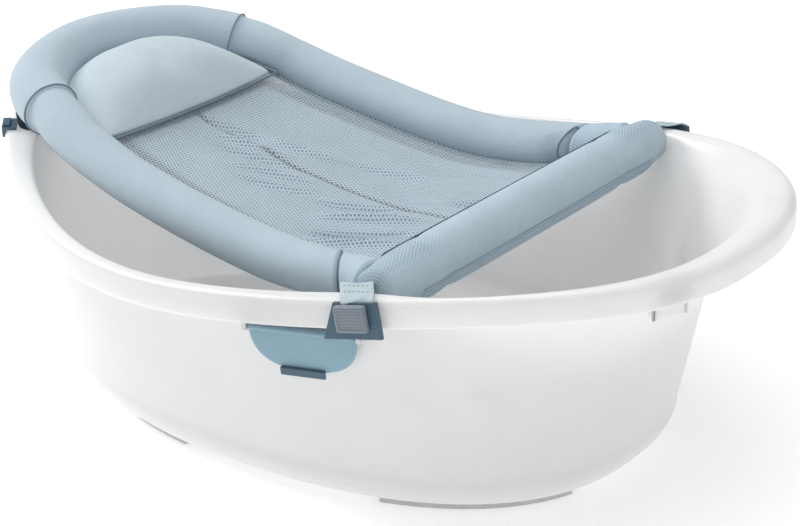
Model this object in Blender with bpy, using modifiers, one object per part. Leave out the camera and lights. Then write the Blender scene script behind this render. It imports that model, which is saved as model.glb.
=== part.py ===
"""Baby bathtub with a padded bath sling.

Metres, +Z up. X runs along the tub, head end at -X and foot end at +X. The origin is on the floor
under the middle of the tub's outline. The near long side is -Y.
"""

import math

import bmesh
import bpy
from mathutils import Matrix, Vector

# --- driving dimensions -------------------------------------------------------------------------

TUB_HALF_LENGTH = 0.395
TUB_HALF_WIDTH = 0.2677
HEAD_EXPONENT = 1.96
FOOT_EXPONENT = 2.38
WALL = 0.003

# rim height as a cubic of u = x / TUB_HALF_LENGTH: low at the waist, higher at both ends
RIM_MID_Z = 0.1997
RIM_TILT = 0.0517
RIM_SADDLE = 0.0503
RIM_HEAD_KICK = -0.0541

RIM_SIDE = 0.012
RIM_HEAD = 0.0407
RIM_FOOT = 0.0524
RIM_DROP = 0.0062
SKIRT = 0.020

KNEE_Z = 0.040
KNEE_INSET_SIDE = 0.0384
KNEE_INSET_HEAD = 0.0230
KNEE_INSET_FOOT = 0.0485
BASE_RUN = 0.016
FLOOR_Z = 0.010
PAD_HEIGHT = 0.0067
# each pad's two angles on the oval, and its width
FOOT_PADS = {"foot": (17, 62, 0.020), "head": (100, 114, 0.016)}

AROUND = 56
GAP = 0.0003

# the sling's hoop, one half from the foot corner to the top of the head arch
HOOP_HALF = (
    (0.152, -0.203, 0.215),
    (0.012, -0.177, 0.204),
    (-0.148, -0.163, 0.229),
    (-0.250, -0.144, 0.258),
    (-0.319, -0.102, 0.274),
    (-0.353, 0.000, 0.280),
)
HOOP_STEPS = 5
KNOT_SPACING = 0.006
HEAD_SEAM_X = -0.270
SEAM_REACH = 0.012
SEAM_GAP = 0.003
ROD_R = 0.004
RAIL_R = 0.0205
HEAD_R = 0.0270
COVER_WALL = 0.0012
FOAM_CLEAR = 0.0008
TUBE_SIDES = 12

BAR_X = 0.165
BAR_Z = 0.220
BAR_R = 0.0245
BAR_HALF = 0.217
CORNER_Y = 0.199
CORNER_BLOCK = (0.022, 0.030, 0.020)
RAIL_START_X = BAR_X - 0.0315

NET_CLEAR = 0.0025
NET_T = 0.002
NET_STOP_X = -0.318
NET_EDGE_DROP = 0.004
NET_SAG = 0.003
NET_VALLEY_X = 0.060
NET_VALLEY_Z = 0.197
NET_RUN = 0.38
NET_CLIMB = 0.050
NET_CLIMB_POWER = 0.95
NET_FOOT_SLOPE = 0.15
NET_HEAD_X = -0.20
NET_HEAD_SAG = 0.010
PILLOW_CENTRE = (-0.242, 0.0, 0.2588)
PILLOW_HALF = 0.111
PILLOW_HEAD_REACH = 0.080
PILLOW_FOOT_REACH = 0.030
PILLOW_CROWN = 0.026
PILLOW_UNDERSIDE = 0.010
PILLOW_TILT = math.radians(10.0)

FOOT_CLIP_X = 0.167
HEAD_CLIP_X = -0.350
STRAP_WIDTH = 0.026
STRAP_T = 0.0014
HOOK_BACK = -0.0112
HOOK_FRONT = 0.0028
HOOK_TOP = 0.0052
HOOK_T = 0.003
HOOK_LIP_T = 0.0022
HOOK_LIP_Z = -0.006
HOOK_WIDTH = 0.016
HOOK_GRIP = (0.0075, 0.012, 0.0022)
HEAD_STRAP_WIDTH = 0.012
CLIP_TOP = 0.006
CLIP_STANDOFF = 0.0042
PLATE_TOP = (-0.0150, 0.0240)
PLATE_BOTTOM = (-0.0280, 0.0245)
PLATE_HEIGHT = 0.032
PLATE_T = 0.004
CLIP_PAD_SIZE = (0.007, 0.0270, 0.0225)
CLIP_PAD_SHIFT = 0.0015
STRAP_SKEW = 0.45
FOOT_STRAP_PROFILE = ((-0.0335, 0.0120), (-0.020, 0.0105), (-0.006, 0.0090), (0.0030, 0.0080))
HEAD_STRAP_PROFILE = (
    (-0.0130, 0.0320),
    (-0.0134, 0.0100),
    (-0.0150, 0.0034),
    (-0.0290, -0.0010),
    (-0.0340, -0.0030),
)

FLAP_X = 0.108
FLAP_HALF = 0.0485
FLAP_DEPTH = 0.0385
FLAP_T = 0.003
FLAP_PITCH = math.radians(3.5)
FLAP_HINGE_DROP = 0.0345
FLAP_LEAN = math.radians(-9.0)
FLAP_TAB = (0.041, 0.003, 0.0075)
FLAP_TAB_SHIFT = 0.003
BRACKET_T = 0.0014
LUG = (0.0036, 0.0079, 0.0070)
BARREL_R = 0.0032
PIN_R = 0.0012

DRAIN_X = 0.150
DRAIN_R = 0.014

MATERIALS = {
    "tub_plastic": ((0.86, 0.86, 0.86), 0.35, 0.0),
    "grip_rubber": ((0.55, 0.57, 0.60), 0.80, 0.0),
    "blue_plastic": ((0.27, 0.40, 0.49), 0.45, 0.0),
    "dark_plastic": ((0.07, 0.13, 0.18), 0.50, 0.0),
    "steel": ((0.62, 0.63, 0.65), 0.30, 1.0),
    "white_plastic": ((0.80, 0.80, 0.80), 0.45, 0.0),
    "foam": ((0.75, 0.75, 0.72), 0.95, 0.0),
    "sling_fabric": ((0.48, 0.58, 0.66), 0.90, 0.0),
    "net_fabric": ((0.42, 0.53, 0.62), 0.90, 0.0),
    "pillow_fabric": ((0.55, 0.66, 0.73), 0.90, 0.0),
    "webbing": ((0.50, 0.60, 0.66), 0.85, 0.0),
    "dark_webbing": ((0.05, 0.08, 0.11), 0.85, 0.0),
    "clip_pad": ((0.25, 0.29, 0.33), 0.70, 0.0),
    "plug_rubber": ((0.27, 0.40, 0.49), 0.60, 0.0),
}


# --- scene helpers ------------------------------------------------------------------------------


def clear_scene():
    for obj in list(bpy.data.objects):
        bpy.data.objects.remove(obj, do_unlink=True)


def new_collection(name):
    collection = bpy.data.collections.new(name)
    bpy.context.scene.collection.children.link(collection)
    return collection


def make_materials():
    made = {}
    for name, (colour, roughness, metallic) in MATERIALS.items():
        material = bpy.data.materials.new(name)
        material.use_nodes = True
        shader = material.node_tree.nodes["Principled BSDF"]
        shader.inputs["Base Color"].default_value = (*colour, 1.0)
        shader.inputs["Roughness"].default_value = roughness
        shader.inputs["Metallic"].default_value = metallic
        made[name] = material
    return made


def add_object(name, data, material, matrix=None):
    obj = bpy.data.objects.new(name, data)
    PARTS.objects.link(obj)
    if matrix is not None:
        obj.matrix_world = matrix
    obj.data.materials.append(MATS[material])
    return obj


def add_cutter(name, mesh, matrix=None):
    obj = bpy.data.objects.new(name, mesh)
    CUTTERS.objects.link(obj)
    if matrix is not None:
        obj.matrix_world = matrix
    obj.hide_render = True
    obj.display_type = "WIRE"
    return obj


def smooth(mesh, degrees=40.0):
    mesh.shade_smooth()
    mesh.set_sharp_from_angle(angle=math.radians(degrees))


def mesh_from_bmesh(name, bm):
    bmesh.ops.recalc_face_normals(bm, faces=bm.faces)
    mesh = bpy.data.meshes.new(name)
    bm.to_mesh(mesh)
    bm.free()
    return mesh


def box_mesh(name, size):
    bm = bmesh.new()
    bmesh.ops.create_cube(bm, size=1.0, matrix=Matrix.Diagonal((*size, 1.0)))
    return mesh_from_bmesh(name, bm)


def cylinder_mesh(name, radius, length, sides=20, capped=True):
    """A cylinder along local X, with or without its two ends."""
    bm = bmesh.new()
    bmesh.ops.create_cone(
        bm,
        cap_ends=capped,
        segments=sides,
        radius1=radius,
        radius2=radius,
        depth=length,
        matrix=Matrix.Rotation(math.pi / 2, 4, "Y"),
    )
    return mesh_from_bmesh(name, bm)


def boolean(obj, cutter, operation):
    modifier = obj.modifiers.new(f"{operation.lower()}_{cutter.name}", "BOOLEAN")
    modifier.object = cutter
    modifier.operation = operation


def bevel(obj, width, segments=2):
    modifier = obj.modifiers.new("edges", "BEVEL")
    modifier.width = width
    modifier.segments = segments
    modifier.limit_method = "ANGLE"


def solidify(obj, thickness, offset=-1.0):
    modifier = obj.modifiers.new("wall", "SOLIDIFY")
    modifier.thickness = thickness
    modifier.offset = offset
    modifier.use_even_offset = True


# --- the tub's outline --------------------------------------------------------------------------


def rim_z(x):
    u = x / TUB_HALF_LENGTH
    return RIM_MID_Z + RIM_TILT * u + RIM_SADDLE * u * u + RIM_HEAD_KICK * u**3


def oval(angle, x_head, x_foot, half_width):
    """A point on an oval that is rounder at the head end and squarer at the foot end."""
    middle = (x_head + x_foot) / 2
    reach = (x_foot - x_head) / 2
    c = math.cos(angle)
    s = math.sin(angle)
    power = 2 / (HEAD_EXPONENT if c < 0 else FOOT_EXPONENT)
    x = middle + reach * math.copysign(abs(c) ** power, c)
    y = half_width * math.copysign(abs(s) ** power, s)
    return x, y


def inset_oval(angle, side, head, foot):
    """The oval that lies the given distances inside the tub's outline."""
    return oval(angle, -TUB_HALF_LENGTH + head, TUB_HALF_LENGTH - foot, TUB_HALF_WIDTH - side)


def wall_insets(level):
    """Side, head and foot insets of the wall from the knee (level 0) to the rim (level 1)."""
    flare = 0.75 * level + 0.25 * level**4
    side = RIM_SIDE + KNEE_INSET_SIDE * (1 - level)
    head = RIM_HEAD + KNEE_INSET_HEAD * (1 - level)
    foot = RIM_FOOT + KNEE_INSET_FOOT * (1 - flare)
    return side, head, foot


def wall_point(angle, level):
    x, y = inset_oval(angle, *wall_insets(level))
    top = rim_z(x)
    return Vector((x, y, KNEE_Z + (top - KNEE_Z) * level))


def rim_point(angle, across, drop):
    """A point on the rim: across runs from 0 at its inner edge to 1 at its outer edge."""
    share = 1 - across
    x, y = inset_oval(angle, RIM_SIDE * share, RIM_HEAD * share, RIM_FOOT * share)
    return Vector((x, y, rim_z(x) - drop))


def floor_point(angle, turn):
    """The bottom bend: turn runs from 0 on the flat floor to 1 at the knee."""
    run = BASE_RUN * (1 - math.sin(turn * math.pi / 2))
    side, head, foot = wall_insets(0.0)
    x, y = inset_oval(angle, side + run, head + run, foot + run)
    rise = (KNEE_Z - FLOOR_Z) * (1 - math.cos(turn * math.pi / 2))
    return Vector((x, y, FLOOR_Z + rise))


def tub_rings():
    """The inside and top of the tub as rings, from the floor to the bottom of the skirt."""
    angles = [2 * math.pi * i / AROUND for i in range(AROUND)]
    rings = [[floor_point(a, turn) for a in angles] for turn in (0.0, 0.3, 0.55, 0.8)]
    rings += [[wall_point(a, level) for a in angles] for level in (0.0, 0.3, 0.55, 0.75, 0.9, 0.975)]
    for across, drop in ((0.12, 0.0), (0.5, 0.0008), (0.8, 0.0030), (0.95, RIM_DROP)):
        rings.append([rim_point(a, across, drop) for a in angles])
    for drop in (RIM_DROP + 0.005, RIM_DROP + SKIRT):
        rings.append([rim_point(a, 1.0, drop) for a in angles])
    return rings


def build_tub():
    bm = bmesh.new()
    rings = [[bm.verts.new(point) for point in ring] for ring in tub_rings()]
    bm.faces.new(rings[0])
    for low, high in zip(rings, rings[1:]):
        for i in range(AROUND):
            j = (i + 1) % AROUND
            bm.faces.new((low[i], low[j], high[j], high[i]))
    bmesh.ops.recalc_face_normals(bm, faces=bm.faces)
    if bm.faces[0].normal.z < 0:
        bmesh.ops.reverse_faces(bm, faces=bm.faces)
    mesh = bpy.data.meshes.new("tub_shell")
    bm.to_mesh(mesh)
    bm.free()
    smooth(mesh)
    tub = add_object("tub_shell", mesh, "tub_plastic")
    solidify(tub, WALL)
    upright = Matrix.Translation((DRAIN_X, 0, FLOOR_Z)) @ Matrix.Rotation(math.pi / 2, 4, "Y")
    drill = add_cutter("drain_drill", cylinder_mesh("drain_drill", DRAIN_R, 0.03, 24), upright)
    boolean(tub, drill, "DIFFERENCE")
    return tub


def build_drain_plug():
    """A turned rubber plug: knob, neck, flange on the floor and stem in the hole."""
    top = FLOOR_Z + GAP
    profile = (
        (0.0, top + 0.016),
        (0.005, top + 0.0155),
        (0.0065, top + 0.012),
        (0.004, top + 0.008),
        (0.004, top + 0.0045),
        (0.019, top + 0.0035),
        (0.021, top + 0.0015),
        (0.021, top),
        (DRAIN_R - GAP, top),
        (DRAIN_R - 0.0008, FLOOR_Z - WALL + GAP),
        (0.0, FLOOR_Z - WALL + GAP),
    )
    bm = bmesh.new()
    verts = [bm.verts.new((x, 0, z)) for x, z in profile]
    for a, b in zip(verts, verts[1:]):
        bm.edges.new((a, b))
    mesh = bpy.data.meshes.new("drain_plug")
    bm.to_mesh(mesh)
    bm.free()
    plug = add_object("drain_plug", mesh, "plug_rubber", Matrix.Translation((DRAIN_X, 0, 0)))
    turned = plug.modifiers.new("turned", "SCREW")
    turned.steps = 24
    turned.render_steps = 24
    turned.use_merge_vertices = True
    turned.merge_threshold = 0.00005
    return plug


def build_foot_pad(name, start, stop, width):
    """A grip pad that follows the edge of the base between two angles of the oval."""
    side, head, foot = wall_insets(0.0)
    steps = 10

    def edge(inset, i):
        angle = start + (stop - start) * i / steps
        away = BASE_RUN + inset
        x, y = inset_oval(angle, side + away, head + away, foot + away)
        return x, y

    outline = [edge(0.001, i) for i in range(steps + 1)]
    outline += [edge(0.001 + width, i) for i in range(steps, -1, -1)]
    curve = bpy.data.curves.new(name, "CURVE")
    curve.dimensions = "2D"
    curve.fill_mode = "BOTH"
    curve.extrude = PAD_HEIGHT / 2
    spline = curve.splines.new("POLY")
    spline.points.add(len(outline) - 1)
    for point, (x, y) in zip(spline.points, outline):
        point.co = (x, y, 0, 1)
    spline.use_cyclic_u = True
    return add_object(name, curve, "grip_rubber", Matrix.Translation((0, 0, PAD_HEIGHT / 2)))


def build_foot_pads():
    for end, (start, stop, width) in FOOT_PADS.items():
        for side, word in ((-1, "front"), (1, "rear")):
            angles = (math.radians(side * start), math.radians(side * stop))
            build_foot_pad(f"foot_pad_{end}_{word}", min(angles), max(angles), width)


# --- the side flap ------------------------------------------------------------------------------


def outer_wall_near(x, z):
    """The nearest point of the tub's outer wall on the front side at a given x and height."""
    best = None
    for i in range(181):
        angle = math.radians(-150 + 120 * i / 180)
        top = wall_point(angle, 1.0)
        level = (z - KNEE_Z) / (top.z - KNEE_Z)
        point = wall_point(angle, level)
        if best is None or abs(point.x - x) < abs(best.x - x):
            best = point
    return best


def flap_frame():
    """Local X along the pin, Y away from the wall, Z up; the origin is on the pin's axis."""
    z = rim_z(FLAP_X) - FLAP_HINGE_DROP
    left = outer_wall_near(FLAP_X - FLAP_HALF, z)
    right = outer_wall_near(FLAP_X + FLAP_HALF, z)
    middle = outer_wall_near(FLAP_X, z)
    along = Vector((left.x - right.x, left.y - right.y, 0)).normalized()
    away = Vector((-along.y, along.x, 0))
    along = along * math.cos(FLAP_PITCH) - Vector((0, 0, math.sin(FLAP_PITCH)))
    up = along.cross(away)
    centre = middle + away * (WALL + BARREL_R + 0.0036)
    rotation = Matrix((along, away, up)).transposed().to_4x4()
    return Matrix.Translation(centre) @ rotation


def half_moon(name, half, depth, thickness):
    """The flap's plate, hanging from local Z = 0, as a filled 2D curve turned upright."""
    steps = 16
    curve = bpy.data.curves.new(name, "CURVE")
    curve.dimensions = "2D"
    curve.fill_mode = "BOTH"
    curve.extrude = thickness / 2
    spline = curve.splines.new("POLY")
    spline.points.add(steps)
    power = 2 / 2.6
    for i, point in enumerate(spline.points):
        angle = math.pi * i / steps
        x = half * math.copysign(abs(math.cos(angle)) ** power, math.cos(angle))
        y = -depth * math.sin(angle) ** power
        point.co = (x, y, 0, 1)
    spline.use_cyclic_u = True
    return curve


def mesh_of_curve(name, curve, matrix):
    """A closed mesh in the given matrix from a filled curve."""
    source = bpy.data.objects.new(name + "_outline", curve)
    PARTS.objects.link(source)
    depsgraph = bpy.context.evaluated_depsgraph_get()
    mesh = bpy.data.meshes.new_from_object(source.evaluated_get(depsgraph))
    mesh.transform(matrix)
    bpy.data.objects.remove(source)
    bm = bmesh.new()
    bm.from_mesh(mesh)
    bmesh.ops.remove_doubles(bm, verts=bm.verts, dist=0.00001)
    bmesh.ops.recalc_face_normals(bm, faces=bm.faces)
    bm.to_mesh(mesh)
    bm.free()
    mesh.name = name
    return mesh


def build_flap():
    frame = flap_frame()
    lean = Matrix.Rotation(FLAP_LEAN, 4, "X")
    upright = Matrix.Rotation(math.pi / 2, 4, "X")
    plate = mesh_of_curve(
        "side_flap",
        half_moon("side_flap", FLAP_HALF, FLAP_DEPTH, FLAP_T),
        lean @ upright,
    )
    flap = add_object("side_flap", plate, "blue_plastic", frame)
    barrel = cylinder_mesh("flap_barrel", BARREL_R, 2 * FLAP_HALF - 0.001, 16)
    boolean(flap, add_cutter("flap_barrel", barrel, frame), "UNION")
    bore = cylinder_mesh("flap_bore", PIN_R + GAP, 2 * FLAP_HALF + 0.01, 16)
    bore_cutter = add_cutter("flap_bore", bore, frame)
    boolean(flap, bore_cutter, "DIFFERENCE")

    tab_out = FLAP_T / 2 + FLAP_TAB[1] / 2 + GAP
    tab_place = lean @ Matrix.Translation((FLAP_TAB_SHIFT, tab_out, -FLAP_DEPTH))
    tab = add_object(
        "side_flap_tab", box_mesh("side_flap_tab", FLAP_TAB), "dark_plastic", frame @ tab_place
    )
    bevel(tab, 0.001)

    pin = cylinder_mesh("side_flap_pin", PIN_R, 2 * FLAP_HALF + 0.008, 12)
    add_object("side_flap_pin", pin, "steel", frame)

    back = box_mesh("side_flap_bracket", (2 * FLAP_HALF + 0.010, BRACKET_T, 0.008))
    back_place = Matrix.Translation((0, -BARREL_R - 0.0012, 0))
    bracket = add_object("side_flap_bracket", back, "white_plastic", frame @ back_place)
    for side in (-1, 1):
        lug_at = Matrix.Translation((side * (FLAP_HALF + 0.0030), -BRACKET_T / 2, 0))
        cutter = add_cutter(f"flap_lug_{side}", box_mesh("flap_lug", LUG), frame @ lug_at)
        boolean(bracket, cutter, "UNION")
    boolean(bracket, bore_cutter, "DIFFERENCE")


# --- the sling's frame --------------------------------------------------------------------------


def catmull(points, steps):
    """A smooth path through the points, with the given steps between each two."""
    padded = [points[0] * 2 - points[1], *points, points[-1] * 2 - points[-2]]
    path = []
    for a, b, c, d in zip(padded, padded[1:], padded[2:], padded[3:]):
        for i in range(steps):
            t = i / steps
            path.append(
                0.5
                * (
                    2 * b
                    + (c - a) * t
                    + (2 * a - 5 * b + 4 * c - d) * t * t
                    + (3 * b - a - 3 * c + d) * t**3
                )
            )
    path.append(points[-1])
    return path


def hoop_path():
    front = [Vector(point) for point in HOOP_HALF]
    rear = [Vector((p.x, -p.y, p.z)) for p in reversed(front[:-1])]
    return catmull(front + rear, HOOP_STEPS)


def crossing(path, x):
    """Where the front half of the hoop crosses a given x: the index before it, and the point."""
    for i, (a, b) in enumerate(zip(path, path[1:])):
        if b.x <= x <= a.x:
            return i, a.lerp(b, (a.x - x) / (a.x - b.x))
    raise ValueError("the hoop does not reach that far")


def front_span(path, x_start, x_stop):
    """The hoop's front half between two places along the tub, both ends exact."""
    first, start = crossing(path, x_start)
    last, stop = crossing(path, x_stop)
    inner = [
        p
        for p in path[first + 1 : last + 1]
        if min((p - start).length, (p - stop).length) > KNOT_SPACING
    ]
    return [start, *inner, stop]


def mirrored(points):
    return [Vector((p.x, -p.y, p.z)) for p in reversed(points)]


def foam_wall(radius):
    """The wall that leaves room for the rod inside a faceted foam sleeve."""
    return radius * math.cos(math.pi / TUBE_SIDES) - ROD_R - GAP


def tube(name, points, radius, material, hollow=0.0):
    """A tube along the points: solid, or a sleeve with the given wall."""
    curve = bpy.data.curves.new(name, "CURVE")
    curve.dimensions = "3D"
    curve.bevel_depth = radius
    curve.bevel_resolution = (TUBE_SIDES - 4) // 2
    curve.use_fill_caps = hollow == 0.0
    spline = curve.splines.new("POLY")
    spline.points.add(len(points) - 1)
    for knot, point in zip(spline.points, points):
        knot.co = (*point, 1)
    obj = add_object(name, curve, material)
    if hollow:
        solidify(obj, hollow)
    return obj


def straight_bar(name, start, stop, radius, material, sides=12):
    """A solid cylinder between two points."""
    start = Vector(start)
    stop = Vector(stop)
    length = (stop - start).length
    turn = (stop - start).to_track_quat("X", "Z").to_matrix().to_4x4()
    place = Matrix.Translation((start + stop) / 2) @ turn
    return add_object(name, cylinder_mesh(name, radius, length, sides), material, place)


def build_hoop():
    path = hoop_path()
    tube("hoop_rod", path, ROD_R, "steel")
    rail = front_span(path, RAIL_START_X, HEAD_SEAM_X + SEAM_GAP)
    top = len(path) // 2
    first, seam = crossing(path, HEAD_SEAM_X)
    arch_half = [seam, *path[first + 1 : top]]
    spans = (
        ("rail_cover_front", "rail_foam_front", RAIL_R, rail),
        ("rail_cover_rear", "rail_foam_rear", RAIL_R, mirrored(rail)),
        ("head_cover", "head_foam", HEAD_R, [*arch_half, path[top], *mirrored(arch_half)]),
    )
    for cover_name, foam_name, radius, points in spans:
        foam_r = radius - COVER_WALL - FOAM_CLEAR
        tube(foam_name, points, foam_r, "foam", foam_wall(foam_r))
        tube(cover_name, points, radius, "sling_fabric", COVER_WALL)


def build_foot_bar():
    rod_half = CORNER_Y - 0.004
    straight_bar(
        "foot_rod", (BAR_X, -rod_half, BAR_Z), (BAR_X, rod_half, BAR_Z), ROD_R, "steel"
    )
    foam_half = CORNER_Y - CORNER_BLOCK[1] / 2 - GAP
    foam_r = BAR_R - COVER_WALL - FOAM_CLEAR
    tube(
        "foot_bar_foam",
        [Vector((BAR_X, y, BAR_Z)) for y in (-foam_half, foam_half)],
        foam_r,
        "foam",
        foam_wall(foam_r),
    )
    across = Matrix.Translation((BAR_X, 0, BAR_Z)) @ Matrix.Rotation(math.pi / 2, 4, "Z")
    sleeve = cylinder_mesh("foot_bar_cover", BAR_R, 2 * BAR_HALF, 20, capped=False)
    cover = add_object("foot_bar_cover", sleeve, "sling_fabric", across)
    solidify(cover, COVER_WALL)
    path = hoop_path()
    for side, name in ((-1, "front"), (1, "rear")):
        end = Vector((path[0].x, path[0].y * -side, path[0].z))
        inner = Vector((path[2].x, path[2].y * -side, path[2].z))
        aim = (end - inner).normalized()
        place = Matrix.Translation((BAR_X, side * CORNER_Y, BAR_Z - 0.002))
        block = add_object(
            f"corner_joint_{name}",
            box_mesh(f"corner_joint_{name}", CORNER_BLOCK),
            "white_plastic",
            place,
        )
        turn = aim.to_track_quat("X", "Z").to_matrix().to_4x4()
        socket_place = Matrix.Translation(end + aim * (GAP - 0.015)) @ turn
        socket = cylinder_mesh(f"hoop_socket_{name}", ROD_R + 2 * GAP, 0.030, 12)
        hoop_cutter = add_cutter(f"hoop_socket_{name}", socket, socket_place)
        rod_socket = cylinder_mesh(f"rod_socket_{name}", ROD_R + 2 * GAP, 0.020, 12)
        rod_end = side * (rod_half + GAP - 0.010)
        rod_place = Matrix.Translation((BAR_X, rod_end, BAR_Z)) @ Matrix.Rotation(
            math.pi / 2, 4, "Z"
        )
        rod_cutter = add_cutter(f"rod_socket_{name}", rod_socket, rod_place)
        boolean(block, hoop_cutter, "DIFFERENCE")
        boolean(block, rod_cutter, "DIFFERENCE")
        slot = cylinder_mesh(f"cover_hole_{name}", ROD_R + 0.003, 0.030, 16)
        slot_place = Matrix.Translation(end - aim * 0.012) @ turn
        boolean(cover, add_cutter(f"cover_hole_{name}", slot, slot_place), "DIFFERENCE")


# --- net and pillow -----------------------------------------------------------------------------


def hoop_half_at(path, x):
    """Half width and height of the hoop where it crosses a given x."""
    front = [p for p in path if p.y <= 0]
    for a, b in zip(front, front[1:]):
        if b.x <= x <= a.x:
            t = (x - a.x) / (b.x - a.x)
            return -(a.y + (b.y - a.y) * t), a.z + (b.z - a.z) * t
    return 0.0, front[-1].z


def inner_width(path, x):
    """Half width of the opening inside the padded hoop at a given x."""
    half = None
    for p, q in zip(path, path[1:]):
        if p.y > 0:
            break
        along = Vector((q.x - p.x, q.y - p.y, 0)).normalized()
        inward = Vector((along.y, -along.x, 0))
        radius = HEAD_R if p.x < HEAD_SEAM_X + SEAM_REACH else RAIL_R
        spot = p + inward * (radius + NET_CLEAR)
        if half is None or abs(spot.x - x) < half[0]:
            half = (abs(spot.x - x), abs(spot.y))
    return half[1]


def net_centre_z(x):
    """The net's lowest line: shallow valley near the foot end, gentle climb to the head."""
    u = (x - NET_VALLEY_X) / NET_RUN
    climb = NET_CLIMB * max(-u, 0.0) ** NET_CLIMB_POWER
    return NET_VALLEY_Z + climb + NET_FOOT_SLOPE * max(u, 0.0)


def build_net():
    path = hoop_path()
    start = BAR_X - BAR_R - 0.003
    stop = NET_STOP_X
    rows = 18
    columns = 12
    bm = bmesh.new()
    grid = []
    for i in range(rows + 1):
        t = i / rows
        x = start + (stop - start) * (1 - (1 - t) ** 1.25)
        half = inner_width(path, x)
        edge_z = hoop_half_at(path, x)[1] - NET_EDGE_DROP
        low_z = min(net_centre_z(x), edge_z - NET_SAG)
        if x < NET_HEAD_X:
            edge_z = min(edge_z, low_z + NET_HEAD_SAG)
        row = []
        for j in range(columns + 1):
            v = -1 + 2 * j / columns
            row.append(bm.verts.new((x, v * half, low_z + (edge_z - low_z) * v * v)))
        grid.append(row)
    for a, b in zip(grid, grid[1:]):
        for j in range(columns):
            bm.faces.new((a[j], a[j + 1], b[j + 1], b[j]))
    net = add_object("net", mesh_from_bmesh("net", bm), "net_fabric")
    solidify(net, NET_T, 0.0)
    return net


def build_pillow():
    """A half-moon cushion: round towards the head, straight towards the foot."""
    bm = bmesh.new()
    bmesh.ops.create_uvsphere(bm, u_segments=24, v_segments=10, radius=1.0)
    for vert in bm.verts:
        x, y, z = vert.co
        flat = math.hypot(x, y)
        if x > 0 and flat > 0:
            square = ((x / flat) ** 4 + (y / flat) ** 4) ** -0.25
            x *= square
            y *= square
        reach = PILLOW_FOOT_REACH if x > 0 else PILLOW_HEAD_REACH
        lift = PILLOW_CROWN if z > 0 else PILLOW_UNDERSIDE
        vert.co = (x * reach, y * PILLOW_HALF, z * lift)
    tilt = Matrix.Rotation(PILLOW_TILT, 4, "Y")
    place = Matrix.Translation(PILLOW_CENTRE) @ tilt
    mesh = mesh_from_bmesh("pillow", bm)
    smooth(mesh)
    return add_object("pillow", mesh, "pillow_fabric", place)


# --- straps and clips ---------------------------------------------------------------------------


def rim_frame(x_wanted, side):
    """Local X outward, Y along the rim, Z up; the origin is the rim's outer edge at its top."""
    best = None
    for i in range(721):
        angle = math.pi * i / 720
        x, y = inset_oval(angle, 0, 0, 0)
        if best is None or abs(x - x_wanted) < best[0]:
            best = (abs(x - x_wanted), angle)
    angle = best[1]
    step = 0.002
    before = rim_point(angle - step, 1.0, RIM_DROP)
    after = rim_point(angle + step, 1.0, RIM_DROP)
    centre = rim_point(angle, 1.0, RIM_DROP)
    along = (after - before).normalized()
    if side < 0:
        centre.y *= -1
        along = Vector((-along.x, along.y, -along.z))
    away = Vector((along.y, -along.x, 0)).normalized()
    up = away.cross(along)
    rotation = Matrix((away, along, up)).transposed().to_4x4()
    return Matrix.Translation(centre) @ rotation


def ribbon(name, profile, width, material, frame, skew=0.0):
    """A flat strap that follows a profile in the frame's X-Z plane; skew slants it along Y."""
    bm = bmesh.new()
    rows = []
    for x, z in profile:
        middle = skew * x
        rows.append([bm.verts.new((x, middle + s * width / 2, z)) for s in (-1, 1)])
    for a, b in zip(rows, rows[1:]):
        bm.faces.new((a[0], a[1], b[1], b[0]))
    strap = add_object(name, mesh_from_bmesh(name, bm), material, frame)
    solidify(strap, STRAP_T, 0.0)


def prism(name, outline, thickness, material, matrix):
    """A flat plate: an outline in local X-Y, with its thickness along Z."""
    bm = bmesh.new()
    low = [bm.verts.new((x, y, -thickness / 2)) for x, y in outline]
    high = [bm.verts.new((x, y, thickness / 2)) for x, y in outline]
    bm.faces.new(low)
    bm.faces.new(high)
    for i in range(len(outline)):
        j = (i + 1) % len(outline)
        bm.faces.new((low[i], low[j], high[j], high[i]))
    return add_object(name, mesh_from_bmesh(name, bm), material, matrix)


def build_head_clip(name, side):
    """A short hook over the rim's outer edge; its strap also lies along the rim's top."""
    frame = rim_frame(HEAD_CLIP_X, side)
    ribbon(f"strap_{name}", HEAD_STRAP_PROFILE, HEAD_STRAP_WIDTH, "dark_webbing", frame)
    low = HOOK_TOP - HOOK_T
    lip = HOOK_FRONT - HOOK_LIP_T
    outline = (
        (HOOK_BACK, low),
        (lip, low),
        (lip, HOOK_LIP_Z),
        (HOOK_FRONT, HOOK_LIP_Z),
        (HOOK_FRONT, HOOK_TOP),
        (HOOK_BACK, HOOK_TOP),
    )
    upright = Matrix.Rotation(math.pi / 2, 4, "X")
    prism(f"clip_plate_{name}", outline, HOOK_WIDTH, "dark_plastic", frame @ upright)
    grip_place = Matrix.Translation(
        (HOOK_FRONT - 0.0005 - HOOK_GRIP[0] / 2, 0, HOOK_TOP + GAP + HOOK_GRIP[2] / 2)
    )
    grip_mesh = box_mesh(f"clip_pad_{name}", HOOK_GRIP)
    grip = add_object(f"clip_pad_{name}", grip_mesh, "dark_plastic", frame @ grip_place)
    bevel(grip, 0.0006)


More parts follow.
